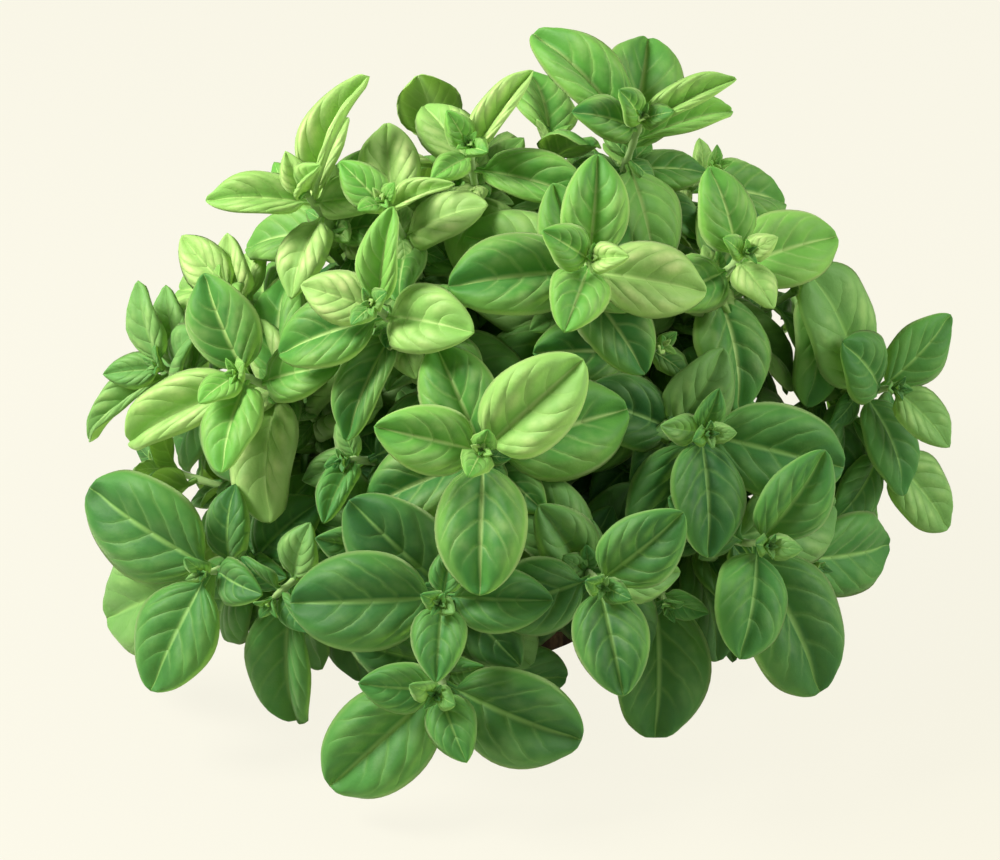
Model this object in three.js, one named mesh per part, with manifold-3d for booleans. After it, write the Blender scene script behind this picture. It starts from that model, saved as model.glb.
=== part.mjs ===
// An oregano plant as a domed cushion of foliage, cut at the ground. Square leafy stems rise from one woody
// crown, lean out, and end in rosettes of ovate leaves. Leaves stand in opposite pairs, each pair a quarter
// turn from the last, and grow larger down the stem.
// Millimetres, +Z up, the front is -Y, and the origin is the middle of the crown's flat cut face.

import * as THREE from "three";
import { mergeVertices } from "three/addons/utils/BufferGeometryUtils.js";
import Module from "manifold-3d";

const wasm = await Module();
wasm.setup();

// ---------------------------------------------------------------- driving dimensions

const CROWN = {
  radius: 21,
  height: 9,
  shoulder: 0.45, // share of its height that the rim lies below its middle
  sides: 15,
  lumps: 5,
  lumpDepth: 0.05,
  socketDepth: 4,
  socketReach: 10, // along the stem, past the crown's top
  socketFloor: 0.4, // under the stem's foot
  socketGap: 0.55, // round it
};
const STEM = {
  footRadius: 1.3,
  tipRadius: 0.8,
  point: 1.2, // the bud past the last pair
  segments: 5,
  footSpread: 17.5, // how far from the crown's axis the flattest shoots stand
  footGap: 4.3, // between the middle lines of two feet
  footReach: 18,
  footRounds: 40,
  lean: 0.55, // how much of a shoot's slant its foot already has
  pull: 0.42, // share of the chord that the foot's direction holds
  arrive: 0.38, // share of the chord that the tip's direction holds
};
const LEAF = {
  widthShare: 0.7, // blade width over leaf length
  petioleShare: 0.12, // stalk length over leaf length
  petioleWidth: 1.7,
  fullness: 2.05,
  baseCurve: 0.5, // how bluntly the blade opens from its stalk
  tipCurve: 0.62, // and closes to its tip
  thickness: 1.2, // at the midrib, thinning to the margin
  // Stations along the blade, for leaves from a length on.
  stations: [[28, [0.12, 0.34, 0.62, 0.88]], [14, [0.14, 0.46, 0.82]], [10.5, [0.34, 0.72]], [0, [0.5]]],
  floorGap: 0.9,
};
// Pairs from the youngest down: the stem between them, the angle from the stem, and how far the blade arches.
const PAIRS = {
  below: [1.6, 3.4, 5.4, 8, 12],
  splay: [26, 48, 66, 80, 88],
  arch: [22, 34, 42, 46, 48],
};
// Pairs further down, inside the plant: the stem between them, their leaf lengths, angle and arch.
const INNER_PAIRS = {
  below: [15, 15],
  length: [29, 23],
  splay: 70,
  arch: 36,
  stations: [0.3, 0.72],
  lowTip: 60, // shoots with a lower tip have one such pair
};
// How far leaves differ from the rule, in degrees, or as a share for length, width and arch.
const JITTER = { around: 4, splay: 6, length: 0.03, width: 0.06, arch: 0.25, fold: [4, 22], twist: 9 };
const FOLDED = { from: 25, width: 0.8 }; // a leaf folded past this angle shows a narrower blade
const CLEAR = { sample: 2.1, gap: 2.4, stemGap: 2.5, ownFrom: 0.45 };
// Turns tried in order, as [away from the stem, round the stem] in degrees, until a leaf is clear.
const BENDS = [
  [0, 0], [9, 0], [-9, 0], [0, 12], [0, -12], [17, 0], [-17, 0], [10, 14], [-10, 14], [10, -14],
  [-10, -14], [0, 24], [0, -24], [26, 0], [-26, 0], [20, 22], [-20, 22], [20, -22], [-20, -22], [35, 0],
];

// ---------------------------------------------------------------- the shoots

// tip: the growing point. heading: [round from the front towards +X, above the horizon] in degrees, the way
// the tip points. leaves: pair by pair from the youngest, each [length, clock angle round the stem, fold of
// the two halves, lift towards the tip].
const FRONT_SHOOTS = [
  { name: "crest", tip: [32, 6, 130], heading: [8, 46],
    leaves: [[13, 300], [10, 100], [26, 74, 55], [19, 279, 10], [36, 328, 30, 22], [27, 78, 50],
      [33, 42, 20, 45],
      [28, 190]] },
  { name: "upper_middle", tip: [20, -36, 116], heading: [4, 34],
    leaves: [[13, 93], [16, 296, 10, -18], [25, 10], [21, 204], [33, 268], [28, 102, 12], [26, 150],
      [31, 308]] },
  { name: "centre", tip: [-4, -64, 84], heading: [-2, 30],
    leaves: [[12, 200], [9, 20], [26, 280], [32, 50, 25], [33, 177, 8], [28, 335], [35, 64], [30, 250]] },
  { name: "low_front", tip: [-14, -84, 34], heading: [-8, 22],
    leaves: [[10, 300], [9, 100], [19, 275], [18, 153], [36, 220], [35, 110]] },
  { name: "front_step", tip: [-13, -78, 54], heading: [-4, 26],
    leaves: [[8, 300], [7, 120], [20, 176, 20], [13, 5], [34, 264], [24, 88], [32, 312], [28, 140]] },
  { name: "lower_middle", tip: [22, -76, 57], heading: [6, 20],
    leaves: [[10, 112], [9, 300], [27, 46], [27, 176], [27, 256], [20, 95], [28, 330], [24, 150]] },
  { name: "lower_right", tip: [59, -58, 56], heading: [24, 24],
    leaves: [[10, 105], [9, 290], [27, 40], [29, 212], [40, 165, 8, 15], [22, 316], [33, 95, 15, 15],
      [28, 260]] },
  { name: "far_right", tip: [91, -8, 68], heading: [36, 22],
    leaves: [[6, 115], [6, 290], [25, 57], [24, 320], [28, 190, 8, 8], [38, 342, 8, 15], [26, 200, 10, 10],
      [28, 20]] },
  { name: "low_left", tip: [-66, -52, 45], heading: [-26, 20],
    leaves: [[9, 330], [30, 196, 8, -40], [17, 92], [36, 290, 8, -8], [41, 232, 8, -4], [20, 352], [30, 215],
      [24, 60]] },
  { name: "upper_right", tip: [55, -16, 107], heading: [22, 40],
    leaves: [[10, 77], [9, 301], [24, 350, 4], [16, 175], [29, 92], [22, 262], [32, 195], [33, 60, 6, 5],
      [34, 138],
      [30, 318]] },
  { name: "left", tip: [-59, -30, 84], heading: [-32, 32],
    leaves: [[9, 60], [14, 190], [26, 332], [25, 160], [36, 226, 40], [22, 60], [33, 152, 18, 16], [30, 310]] },
  { name: "upper_left", tip: [-44, -2, 115], heading: [-28, 44],
    leaves: [[18, 66, 45], [13, 325], [35, 22, 58, 10], [26, 245, 35], [16, 335], [22, 165], [19, 78],
      [27, 240]] },
  { name: "top", tip: [-7, -4, 128], heading: [-6, 48],
    leaves: [[12, 315], [10, 130], [25, 34, 50], [13, 220], [29, 100, 35], [22, 318], [28, 160], [26, 355]] },
  { name: "top_left", tip: [-26, -16, 120], heading: [-18, 44],
    leaves: [[8, 40], [9, 220], [16, 300], [19, 66, 55], [22, 172, 50], [25, 6, 12], [24, 250], [24, 70]] },
  { name: "middle_left", tip: [-28, -40, 107], heading: [-20, 34],
    leaves: [[9, 60], [9, 200], [18, 274], [24, 4, 36], [26, 92, 20], [27, 241, 20], [28, 190, 35], [14, 140]] },
  { name: "far_left", tip: [-79, -2, 70], heading: [-52, 28],
    leaves: [[9, 20], [15, 230, 10, -20], [30, 207, 50], [20, 40], [19, 275], [22, 330], [28, 200],
      [26, 120]] },
  { name: "shoulder_left", tip: [-64, 0, 90], heading: [-46, 40],
    leaves: [[9, 20], [9, 190], [20, 290], [16, 110], [19, 335], [27, 245, 20], [28, 280], [26, 60]] },
  { name: "hanging_left", tip: [-51, -60, 43], heading: [-24, -6],
    leaves: [[6, 30], [6, 210], [12, 120], [12, 300], [38, 182, 34], [16, 10], [31, 245], [30, 80]] },
  { name: "inner_left", tip: [-34, -44, 70], heading: [-26, 22],
    leaves: [[7, 60], [7, 240], [11, 330], [20, 170, 30], [31, 60], [16, 240], [24, 150], [30, 0]] },
  { name: "front_left", tip: [-30, -60, 56], heading: [-18, 16],
    leaves: [[7, 45], [7, 225], [14, 100], [14, 280], [31, 0], [31, 165], [32, 75], [31, 255]] },
  { name: "deep_right", tip: [36, -24, 88], heading: [30, 30],
    leaves: [[6, 60], [6, 240], [12, 330], [12, 150], [36, 124], [28, 300], [34, 60], [30, 215]] },
  { name: "inner_right", tip: [46, -46, 78], heading: [16, 20],
    leaves: [[8, 90], [8, 270], [12, 20], [12, 290], [30, 186, 10, 6], [14, 120], [28, 60], [26, 300]] },
  { name: "hanging_right", tip: [37, -60, 42], heading: [8, -8],
    leaves: [[6, 60], [6, 240], [12, 110], [12, 290], [36, 186, 24, 8], [31, 10], [26, 75], [30, 280]] },
  { name: "shoulder_right", tip: [72, 10, 86], heading: [72, 36],
    leaves: [[9, 60], [9, 240], [20, 150], [20, 330], [33, 100], [30, 250], [32, 350], [30, 170]] },
  { name: "low_far_right", tip: [72, -34, 36], heading: [44, 2],
    leaves: [[8, 30], [8, 210], [32, 90, 8, -10], [17, 300], [31, 180], [29, 10], [31, 120]] },
  { name: "edge_right", tip: [94, -6, 49], heading: [38, 10],
    leaves: [[7, 60], [7, 240], [26, 158, 8], [14, 330], [18, 60], [17, 250], [22, 110], [20, 290]] },
  { name: "high_right", tip: [50, 30, 106], heading: [40, 42],
    leaves: [[7, 20], [7, 200], [12, 200], [10, 20], [29, 121], [14, 290], [22, 200], [24, 20]] },
];

// The far side: rings of shoots, evenly spread from one side round the back to the other.
const BACK_RINGS = [
  { name: "back_low", count: 6, from: 104, to: 256, reach: 84, height: 30, rise: 16 },
  { name: "back_middle", count: 5, from: 112, to: 246, reach: 79, height: 64, rise: 30 },
  { name: "back_high", count: 4, from: 112, to: 240, reach: 58, height: 98, rise: 44 },
  { name: "back_top", count: 2, from: 150, to: 215, reach: 28, height: 120, rise: 58 },
];
const BACK_LEAVES = [10, 21, 30, 31]; // one leaf of each pair, youngest first
const BACK_SPREAD = { round: 5, reach: 4, height: 5, length: 2, clock: 9 };

// ---------------------------------------------------------------- small helpers

const rad = THREE.MathUtils.degToRad;
const lerp = THREE.MathUtils.lerp;
const UP = new THREE.Vector3(0, 0, 1);

// The same run of numbers from 0 to 1 for the same seed.
function seeded(seed) {
  let state = seed >>> 0;
  return () => {
    state = (state + 0x6d2b79f5) >>> 0;
    let t = Math.imul(state ^ (state >>> 15), 1 | state);
    t = (t + Math.imul(t ^ (t >>> 7), 61 | t)) ^ t;
    return ((t ^ (t >>> 14)) >>> 0) / 4294967296;
  };
}

const spread = (random, size) => (2 * random() - 1) * size;

function headingVector(round, rise) {
  const flat = Math.cos(rad(rise));
  return new THREE.Vector3(Math.sin(rad(round)) * flat, -Math.cos(rad(round)) * flat, Math.sin(rad(rise)));
}

// The direction at a clock angle round an axis, with 0 at the top as seen by someone facing the axis's end.
function clockDirection(axis, degrees) {
  const top = UP.clone().addScaledVector(axis, -UP.dot(axis));
  if (top.length() < 1e-3) top.set(0, 1, 0);
  top.normalize();
  const right = top.clone().cross(axis);
  return top.multiplyScalar(Math.cos(rad(degrees))).addScaledVector(right, Math.sin(rad(degrees)));
}

// A closed three.js geometry as a manifold solid.
function solidFrom(positions, index) {
  const geometry = new THREE.BufferGeometry();
  geometry.setAttribute("position", new THREE.Float32BufferAttribute(positions, 3));
  geometry.setIndex(index);
  const merged = mergeVertices(geometry, 1e-4);
  return new wasm.Manifold(new wasm.Mesh({
    numProp: 3,
    vertProperties: merged.attributes.position.array,
    triVerts: new Uint32Array(merged.index.array),
  }));
}

function geometryFrom(solid) {
  const mesh = solid.getMesh();
  const geometry = new THREE.BufferGeometry();
  geometry.setAttribute("position", new THREE.Float32BufferAttribute(mesh.vertProperties, 3));
  geometry.setIndex(Array.from(mesh.triVerts));
  geometry.computeVertexNormals();
  return geometry;
}

// ---------------------------------------------------------------- stems

function backShoots() {
  const random = seeded(11);
  const shoots = [];
  for (const ring of BACK_RINGS) {
    for (let i = 0; i < ring.count; i++) {
      const round = lerp(ring.from, ring.to, i / (ring.count - 1)) + spread(random, BACK_SPREAD.round);
      const reach = ring.reach + spread(random, BACK_SPREAD.reach);
      const height = ring.height + spread(random, BACK_SPREAD.height);
      shoots.push({
        name: ring.name + "_" + (i + 1),
        tip: [Math.sin(rad(round)) * reach, -Math.cos(rad(round)) * reach, height],
        heading: [round, ring.rise],
        leaves: backLeaves(random),
      });
    }
  }
  return shoots;
}

// Opposite pairs, each a quarter turn from the last.
function backLeaves(random) {
  const roll = 180 * random();
  return BACK_LEAVES.flatMap((length, pair) => [0, 180].map((half) => [
    length + spread(random, BACK_SPREAD.length),
    roll + 90 * pair + half + spread(random, BACK_SPREAD.clock),
  ]));
}

// Where each shoot leaves the crown: the flatter it lies, the nearer the rim. Feet that would meet are pushed
// apart.
function footPlaces(shoots) {
  const feet = shoots.map(({ tip }) => {
    const reach = Math.hypot(tip[0], tip[1]);
    const from = (STEM.footSpread * polarAngle(tip)) / (Math.PI / 2);
    return new THREE.Vector2(tip[0] / reach, tip[1] / reach).multiplyScalar(from);
  });
  for (let round = 0; round < STEM.footRounds; round++) {
    feet.forEach((a, i) => feet.slice(i + 1).forEach((b) => {
      const short = STEM.footGap - a.distanceTo(b);
      if (short <= 0) return;
      const push = b.clone().sub(a).setLength(short / 2);
      a.sub(push);
      b.add(push);
    }));
    for (const foot of feet) foot.clampLength(0, STEM.footReach);
  }
  return feet;
}

// How far a tip leans from straight up.
function polarAngle([x, y, z]) {
  return Math.atan2(Math.hypot(x, y), z);
}

// The stem's middle line: out of its socket, leaning as far as the shoot does, and over to the tip's heading.
function stemCurve(shoot, place) {
  const tip = new THREE.Vector3(...shoot.tip);
  const away = new THREE.Vector3(tip.x, tip.y, 0).normalize();
  const depth = CROWN.socketDepth - CROWN.socketFloor;
  const foot = new THREE.Vector3(place.x, place.y, crownTop(place.length()) - depth);
  const lean = polarAngle(shoot.tip) * STEM.lean;
  const rise = UP.clone().multiplyScalar(Math.cos(lean)).addScaledVector(away, Math.sin(lean));
  const chord = tip.distanceTo(foot);
  return new THREE.CubicBezierCurve3(
    foot,
    foot.clone().addScaledVector(rise, chord * STEM.pull),
    tip.clone().addScaledVector(headingVector(...shoot.heading), -chord * STEM.arrive),
    tip,
  );
}

// The middle line as the straight steps between its rings, which leaves are rooted on.
function stemPoint(curve, share) {
  const step = Math.min(Math.floor(share * STEM.segments), STEM.segments - 1);
  const from = curve.getPointAt(step / STEM.segments);
  const to = curve.getPointAt((step + 1) / STEM.segments);
  return from.lerp(to, share * STEM.segments - step);
}

// Four-sided rings along the curve, tapering, with a short point at the tip.
function stemSolid(curve) {
  const positions = [];
  const index = [];
  const frames = curve.computeFrenetFrames(STEM.segments, false);
  for (let i = 0; i <= STEM.segments; i++) {
    const at = curve.getPointAt(i / STEM.segments);
    const radius = lerp(STEM.footRadius, STEM.tipRadius, i / STEM.segments);
    for (let corner = 0; corner < 4; corner++) {
      const turn = (corner * Math.PI) / 2;
      const p = at.clone();
      p.addScaledVector(frames.normals[i], Math.cos(turn) * radius);
      p.addScaledVector(frames.binormals[i], Math.sin(turn) * radius);
      positions.push(p.x, p.y, p.z);
    }
  }
  const end = curve.getPointAt(1).addScaledVector(curve.getTangentAt(1), STEM.point);
  positions.push(end.x, end.y, end.z);
  const last = 4 * STEM.segments;
  for (let corner = 0; corner < 4; corner++) {
    const next = (corner + 1) % 4;
    for (let ring = 0; ring < last; ring += 4) {
      const a = ring + corner;
      const b = ring + next;
      index.push(a, b, b + 4, a, b + 4, a + 4);
    }
    index.push(last + corner, last + next, last + 4);
  }
  index.push(0, 2, 1, 0, 3, 2);
  return solidFrom(positions, index);
}

// ---------------------------------------------------------------- leaves

// Half the blade's width at a share of the leaf's length: a slim stalk, then an ovate blade.
function halfWidth(leaf, s) {
  if (s <= LEAF.petioleShare) return LEAF.petioleWidth / 2;
  const t = (s - LEAF.petioleShare) / (1 - LEAF.petioleShare);
  const ovate = Math.pow(t, LEAF.baseCurve) * Math.pow(1 - t, LEAF.tipCurve) * LEAF.fullness;
  return Math.max((leaf.width / 2) * ovate, (LEAF.petioleWidth / 2) * (1 - t));
}

// A point of the leaf's middle surface: s runs from the stem to the tip, v from one margin to the other.
function leafPoint(leaf, s, v) {
  const start = leaf.splay;
  const now = leaf.splay + leaf.arch * s;
  const along = (leaf.length * (Math.sin(now) - Math.sin(start))) / leaf.arch;
  const out = (leaf.length * (Math.cos(start) - Math.cos(now))) / leaf.arch;
  const face = leaf.axis.clone().multiplyScalar(Math.sin(now)).addScaledVector(leaf.out, -Math.cos(now));
  const twist = leaf.twist * s;
  const side = leaf.side.clone().multiplyScalar(Math.cos(twist)).addScaledVector(face, Math.sin(twist));
  face.multiplyScalar(Math.cos(twist)).addScaledVector(leaf.side, -Math.sin(twist));
  const half = halfWidth(leaf, s);
  return {
    at: leaf.root.clone()
      .addScaledVector(leaf.axis, along)
      .addScaledVector(leaf.out, out)
      .addScaledVector(side, half * v * Math.cos(leaf.fold))
      .addScaledVector(face, half * Math.abs(v) * Math.sin(leaf.fold)),
    face,
  };
}

// A leaf hung on a stem at a clock angle, with its own small differences.
function makeLeaf(curve, below, { length, clock, fold, splay, arch, stations }, random) {
  const share = 1 - below / curve.getLength();
  const axis = curve.getTangentAt(share);
  const out = clockDirection(axis, clock + spread(random, JITTER.around));
  const own = length * (1 + spread(random, JITTER.length));
  const usualFold = lerp(...JITTER.fold, random());
  const shown = fold > FOLDED.from ? FOLDED.width : 1;
  return {
    root: stemPoint(curve, share),
    axis,
    out,
    side: axis.clone().cross(out),
    length: own,
    width: own * LEAF.widthShare * shown * (1 + spread(random, JITTER.width)),
    splay: rad(splay + spread(random, JITTER.splay)),
    arch: rad(arch * (1 + spread(random, JITTER.arch))),
    fold: rad(fold ?? usualFold),
    twist: rad(spread(random, JITTER.twist)),
    stations: stations ?? LEAF.stations.find(([from]) => length >= from)[1],
  };
}

// The same leaf, bent away from the stem and round it.
function bentLeaf(leaf, [away, round]) {
  const out = leaf.out.clone().applyAxisAngle(leaf.axis, rad(round));
  return { ...leaf, out, side: leaf.axis.clone().cross(out), splay: leaf.splay + rad(away) };
}

// Lens-shaped stations joined by triangles that run alike on both faces.
function leafSolid(leaf) {
  const positions = [];
  const index = [];
  const push = (p) => positions.push(p.x, p.y, p.z);
  push(leaf.root);
  for (const s of leaf.stations) {
    const middle = leafPoint(leaf, s, 0);
    push(leafPoint(leaf, s, -1).at);
    push(middle.at.clone().addScaledVector(middle.face, LEAF.thickness / 2));
    push(leafPoint(leaf, s, 1).at);
    push(middle.at.clone().addScaledVector(middle.face, -LEAF.thickness / 2));
  }
  push(leafPoint(leaf, 1, 0).at);
  const rows = leaf.stations.length;
  const tip = 1 + 4 * rows;
  for (let corner = 0; corner < 4; corner++) {
    const next = (corner + 1) % 4;
    index.push(0, 1 + corner, 1 + next);
    for (let row = 0; row < rows - 1; row++) {
      const a = 1 + 4 * row + corner;
      const b = 1 + 4 * row + next;
      // The diagonal starts at the margin on both faces.
      if (corner % 2) index.push(a, a + 4, b, b, a + 4, b + 4);
      else index.push(a, b + 4, b, a, a + 4, b + 4);
    }
    const a = 1 + 4 * (rows - 1) + corner;
    const b = 1 + 4 * (rows - 1) + next;
    index.push(a, tip, b);
  }
  return solidFrom(positions, index);
}

// ---------------------------------------------------------------- keeping leaves clear of each other

function cloud(points, owner) {
  const sphere = new THREE.Sphere().setFromPoints(points);
  return { points, owner, centre: sphere.center, radius: sphere.radius };
}

function leafCloud(leaf, owner) {
  const rows = Math.max(3, Math.round(leaf.length / CLEAR.sample));
  const columns = Math.max(2, 2 * Math.round(leaf.width / CLEAR.sample / 2));
  const points = [];
  const own = [];
  for (let i = 1; i <= rows; i++) {
    const s = lerp(LEAF.petioleShare, 1, i / rows);
    for (let j = 0; j <= columns; j++) {
      const at = leafPoint(leaf, s, (2 * j) / columns - 1).at;
      points.push(at);
      if (s > CLEAR.ownFrom) own.push(at);
    }
  }
  return { ...cloud(points, owner), own };
}

function stemCloud(curve, owner) {
  const count = Math.round(curve.getLength() / CLEAR.sample);
  const points = [];
  for (let i = 0; i <= count; i++) points.push(stemPoint(curve, i / count));
  return cloud(points, owner);
}

function near(pointsA, pointsB, gap) {
  return pointsA.some((a) => pointsB.some((b) => a.distanceToSquared(b) < gap * gap));
}

function isClear(one, leafClouds, stemClouds) {
  if (one.points.some((p) => p.z < LEAF.floorGap)) return false;
  for (const other of stemClouds) {
    if (other.owner === one.owner) continue;
    if (one.centre.distanceTo(other.centre) > one.radius + other.radius + CLEAR.stemGap) continue;
    if (near(one.points, other.points, CLEAR.stemGap)) return false;
  }
  for (const other of leafClouds) {
    if (one.centre.distanceTo(other.centre) > one.radius + other.radius + CLEAR.gap) continue;
    const same = other.owner === one.owner;
    if (near(same ? one.own : one.points, same ? other.own : other.points, CLEAR.gap)) return false;
  }
  return true;
}

// ---------------------------------------------------------------- the crown

function crownTop(fromAxis) {
  const share = fromAxis / CROWN.radius;
  return CROWN.height * (1 - CROWN.shoulder * share * share);
}

// A low woody cushion with a flat cut face, swollen into a few lumps round its side.
function crownSolid(curves) {
  const rim = crownTop(CROWN.radius);
  const profile = [[0, 0], [0.88, 0], [1, 0.4 * rim], [0.95, rim]];
  for (const share of [0.6, 0]) profile.push([share, crownTop(share * CROWN.radius)]);
  const points = profile.map(([share, z]) => new THREE.Vector2(share * CROWN.radius, z));
  const lathe = new THREE.LatheGeometry(points, CROWN.sides);
  lathe.rotateX(Math.PI / 2);
  const position = lathe.attributes.position;
  for (let i = 0; i < position.count; i++) {
    const turn = Math.atan2(position.getY(i), position.getX(i));
    const lump = 1 + CROWN.lumpDepth * Math.sin(CROWN.lumps * turn);
    position.setXY(i, position.getX(i) * lump, position.getY(i) * lump);
  }
  let crown = solidFrom(Array.from(position.array), Array.from(lathe.index.array));
  if (crown.volume() < 0) throw new Error("the crown's profile runs the wrong way");
  for (const curve of curves) crown = crown.subtract(socketSolid(curve));
  return crown;
}

// A four-sided hole round a stem's first straight step.
function socketSolid(curve) {
  const { normals, binormals } = curve.computeFrenetFrames(STEM.segments, false);
  const along = stemPoint(curve, 1 / STEM.segments).sub(curve.getPointAt(0)).normalize();
  const radius = STEM.footRadius + CROWN.socketGap * Math.SQRT2;
  const positions = [];
  for (const reach of [-CROWN.socketFloor, CROWN.socketReach]) {
    for (let corner = 0; corner < 4; corner++) {
      const turn = (corner * Math.PI) / 2;
      const p = curve.getPointAt(0).addScaledVector(along, reach);
      p.addScaledVector(normals[0], Math.cos(turn) * radius);
      p.addScaledVector(binormals[0], Math.sin(turn) * radius);
      positions.push(p.x, p.y, p.z);
    }
  }
  const index = [0, 2, 1, 0, 3, 2, 4, 5, 6, 4, 6, 7];
  for (let a = 0; a < 4; a++) {
    const b = (a + 1) % 4;
    index.push(a, b, b + 4, a, b + 4, a + 4);
  }
  return solidFrom(positions, index);
}

// ---------------------------------------------------------------- the plant

const LIT_HEIGHT = 80; // tips above this are the younger, brighter ones
const bark = new THREE.MeshStandardMaterial({ color: 0x6b4f36, roughness: 0.9, metalness: 0 });
const youngLeaf = new THREE.MeshStandardMaterial({ color: 0x7db24a, roughness: 0.55, metalness: 0 });
const grownLeaf = new THREE.MeshStandardMaterial({ color: 0x4b8a3a, roughness: 0.6, metalness: 0 });

// How far below the tip each outer pair of a shoot stands.
function pairDepths(count) {
  let depth = 0;
  return PAIRS.below.slice(0, count).map((step) => (depth += step));
}

// The pairs that a shoot lists, youngest first.
function outerLeaves({ shoot, curve }, random) {
  const depths = pairDepths(PAIRS.below.length);
  return shoot.leaves.map(([length, clock, fold, lift = 0], i) => {
    const pair = Math.floor(i / 2);
    const shape = { length, clock, fold, splay: PAIRS.splay[pair] - lift, arch: PAIRS.arch[pair] };
    return makeLeaf(curve, depths[pair], shape, random);
  });
}

// The far side and the low shoots keep their inside barer.
function innerPairs(shoot) {
  const bare = shoot.name.startsWith("back") || shoot.tip[2] < INNER_PAIRS.lowTip;
  return bare ? 1 : 2;
}

// The pairs below them, each a quarter turn from the last.
function innerLeaves({ shoot, curve }, random) {
  const pairs = Math.ceil(shoot.leaves.length / 2);
  const last = shoot.leaves[2 * (pairs - 1)][1];
  let depth = pairDepths(pairs).at(-1);
  return INNER_PAIRS.length.slice(0, innerPairs(shoot)).flatMap((length, i) => {
    depth += INNER_PAIRS.below[i];
    const below = depth;
    return [0, 180].map((half) => {
      const clock = last + 90 * (i + 1) + half;
      return makeLeaf(curve, below, { ...INNER_PAIRS, length, clock }, random);
    });
  });
}

// Puts a leaf on its shoot at the first bend that is clear of everything placed so far, or leaves it off.
function settle(leaf, { owner, leaves }, leafClouds, stemClouds) {
  for (const bend of BENDS) {
    const bent = bentLeaf(leaf, bend);
    const sampled = leafCloud(bent, owner);
    if (!isClear(sampled, leafClouds, stemClouds)) continue;
    leaves.push(bent);
    leafClouds.push(sampled);
    return;
  }
}

// The outer leaves of every shoot find their places first, then the inner ones between the stems.
function growShoots() {
  const random = seeded(5);
  const shoots = [...FRONT_SHOOTS, ...backShoots()];
  const feet = footPlaces(shoots);
  const grown = shoots.map((shoot, owner) => {
    return { shoot, owner, curve: stemCurve(shoot, feet[owner]), leaves: [] };
  });
  const stemClouds = grown.map(({ curve, owner }) => stemCloud(curve, owner));
  const leafClouds = [];
  for (const one of grown) {
    for (const leaf of outerLeaves(one, random)) settle(leaf, one, leafClouds, stemClouds);
  }
  for (const one of grown) {
    for (const leaf of innerLeaves(one, random)) settle(leaf, one, leafClouds, stemClouds);
  }
  return grown;
}

const plant = new THREE.Group();
const grown = growShoots();
for (const { shoot, curve, leaves } of grown) {
  const whole = leaves.reduce((solid, leaf) => solid.add(leafSolid(leaf)), stemSolid(curve));
  const mesh = new THREE.Mesh(geometryFrom(whole), shoot.tip[2] > LIT_HEIGHT ? youngLeaf : grownLeaf);
  mesh.name = "shoot_" + shoot.name;
  plant.add(mesh);
}
const crown = new THREE.Mesh(geometryFrom(crownSolid(grown.map(({ curve }) => curve))), bark);
crown.name = "woody_crown";
plant.add(crown);

export default plant;
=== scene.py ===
"""Oregano: a domed cushion of leafy stems on a woody crown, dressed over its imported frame.

The growth rule is the frame's own: stems rise from the crown, and leaves stand on them in opposite pairs
and are bent until they are clear of each other. Here each leaf gets its blade, veins and margin, and the
inside of the cushion gets the smaller leaves, axil tufts and tip buds that a living plant has.
"""

import math

import bpy
import numpy as np
from bpy.props import FloatProperty, FloatVectorProperty, PointerProperty
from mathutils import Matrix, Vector


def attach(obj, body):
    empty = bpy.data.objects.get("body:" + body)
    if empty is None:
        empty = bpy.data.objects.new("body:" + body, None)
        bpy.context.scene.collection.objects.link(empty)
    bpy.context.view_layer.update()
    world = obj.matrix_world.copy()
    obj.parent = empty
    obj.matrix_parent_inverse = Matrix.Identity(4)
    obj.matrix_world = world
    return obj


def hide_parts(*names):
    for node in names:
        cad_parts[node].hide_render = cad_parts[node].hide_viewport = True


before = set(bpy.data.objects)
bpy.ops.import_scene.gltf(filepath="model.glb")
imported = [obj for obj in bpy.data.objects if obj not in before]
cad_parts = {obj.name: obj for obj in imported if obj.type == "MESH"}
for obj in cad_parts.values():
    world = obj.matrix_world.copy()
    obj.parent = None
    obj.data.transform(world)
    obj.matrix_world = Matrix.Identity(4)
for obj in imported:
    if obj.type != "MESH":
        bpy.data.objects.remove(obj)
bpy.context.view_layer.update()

bl_info = {
    "name": "Oregano cushion",
    "version": (1, 0, 0),
    "blender": (4, 5, 0),
    "location": "View3D > Sidebar > Oregano",
    "description": "Grows a cushion of oregano on its woody crown",
    "category": "Object",
}

MM = 0.001
BODY = "root"

# ------------------------------------------------------------ the growth rule, in millimetres and degrees

CROWN = {"radius": 21, "height": 9, "shoulder": 0.45, "lumps": 5, "lump_depth": 0.05,
         "socket_depth": 4, "socket_floor": 0.4}
STEM = {"foot_radius": 1.3, "tip_radius": 0.8, "segments": 5, "foot_spread": 17.5, "foot_gap": 4.3,
        "foot_reach": 18, "foot_rounds": 40, "lean": 0.55, "pull": 0.42, "arrive": 0.38}
LEAF = {"width_share": 0.7, "petiole_share": 0.12, "petiole_width": 1.7, "fullness": 2.05,
        "base_curve": 0.5, "tip_curve": 0.62, "floor_gap": 0.9}
# Pairs from the youngest down: the stem between them, their angle from it, and how far the blade arches.
PAIRS = {"below": [1.6, 3.4, 5.4, 8, 12], "splay": [26, 48, 66, 80, 88], "arch": [22, 34, 42, 46, 48]}
INNER_PAIRS = {"below": [15, 15], "length": [29, 23], "splay": 70, "arch": 36, "low_tip": 60}
# How much a leaf may differ from its row below, and the folds left to chance.
JITTER = {"around": 4, "splay": 6, "length": 0.03, "width": 0.06, "arch": 0.25, "fold": (4, 22), "twist": 9}
# A blade folded further than this shows less of its width.
FOLDED = {"from": 25, "width": 0.8}
# How closely leaves and stems are sampled, how far apart they stay, and where a leaf leaves its own stem.
CLEAR = {"sample": 2.1, "rows": 3, "columns": 2, "gap": 2.4, "stem_gap": 2.5, "own_from": 0.45}
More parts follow.
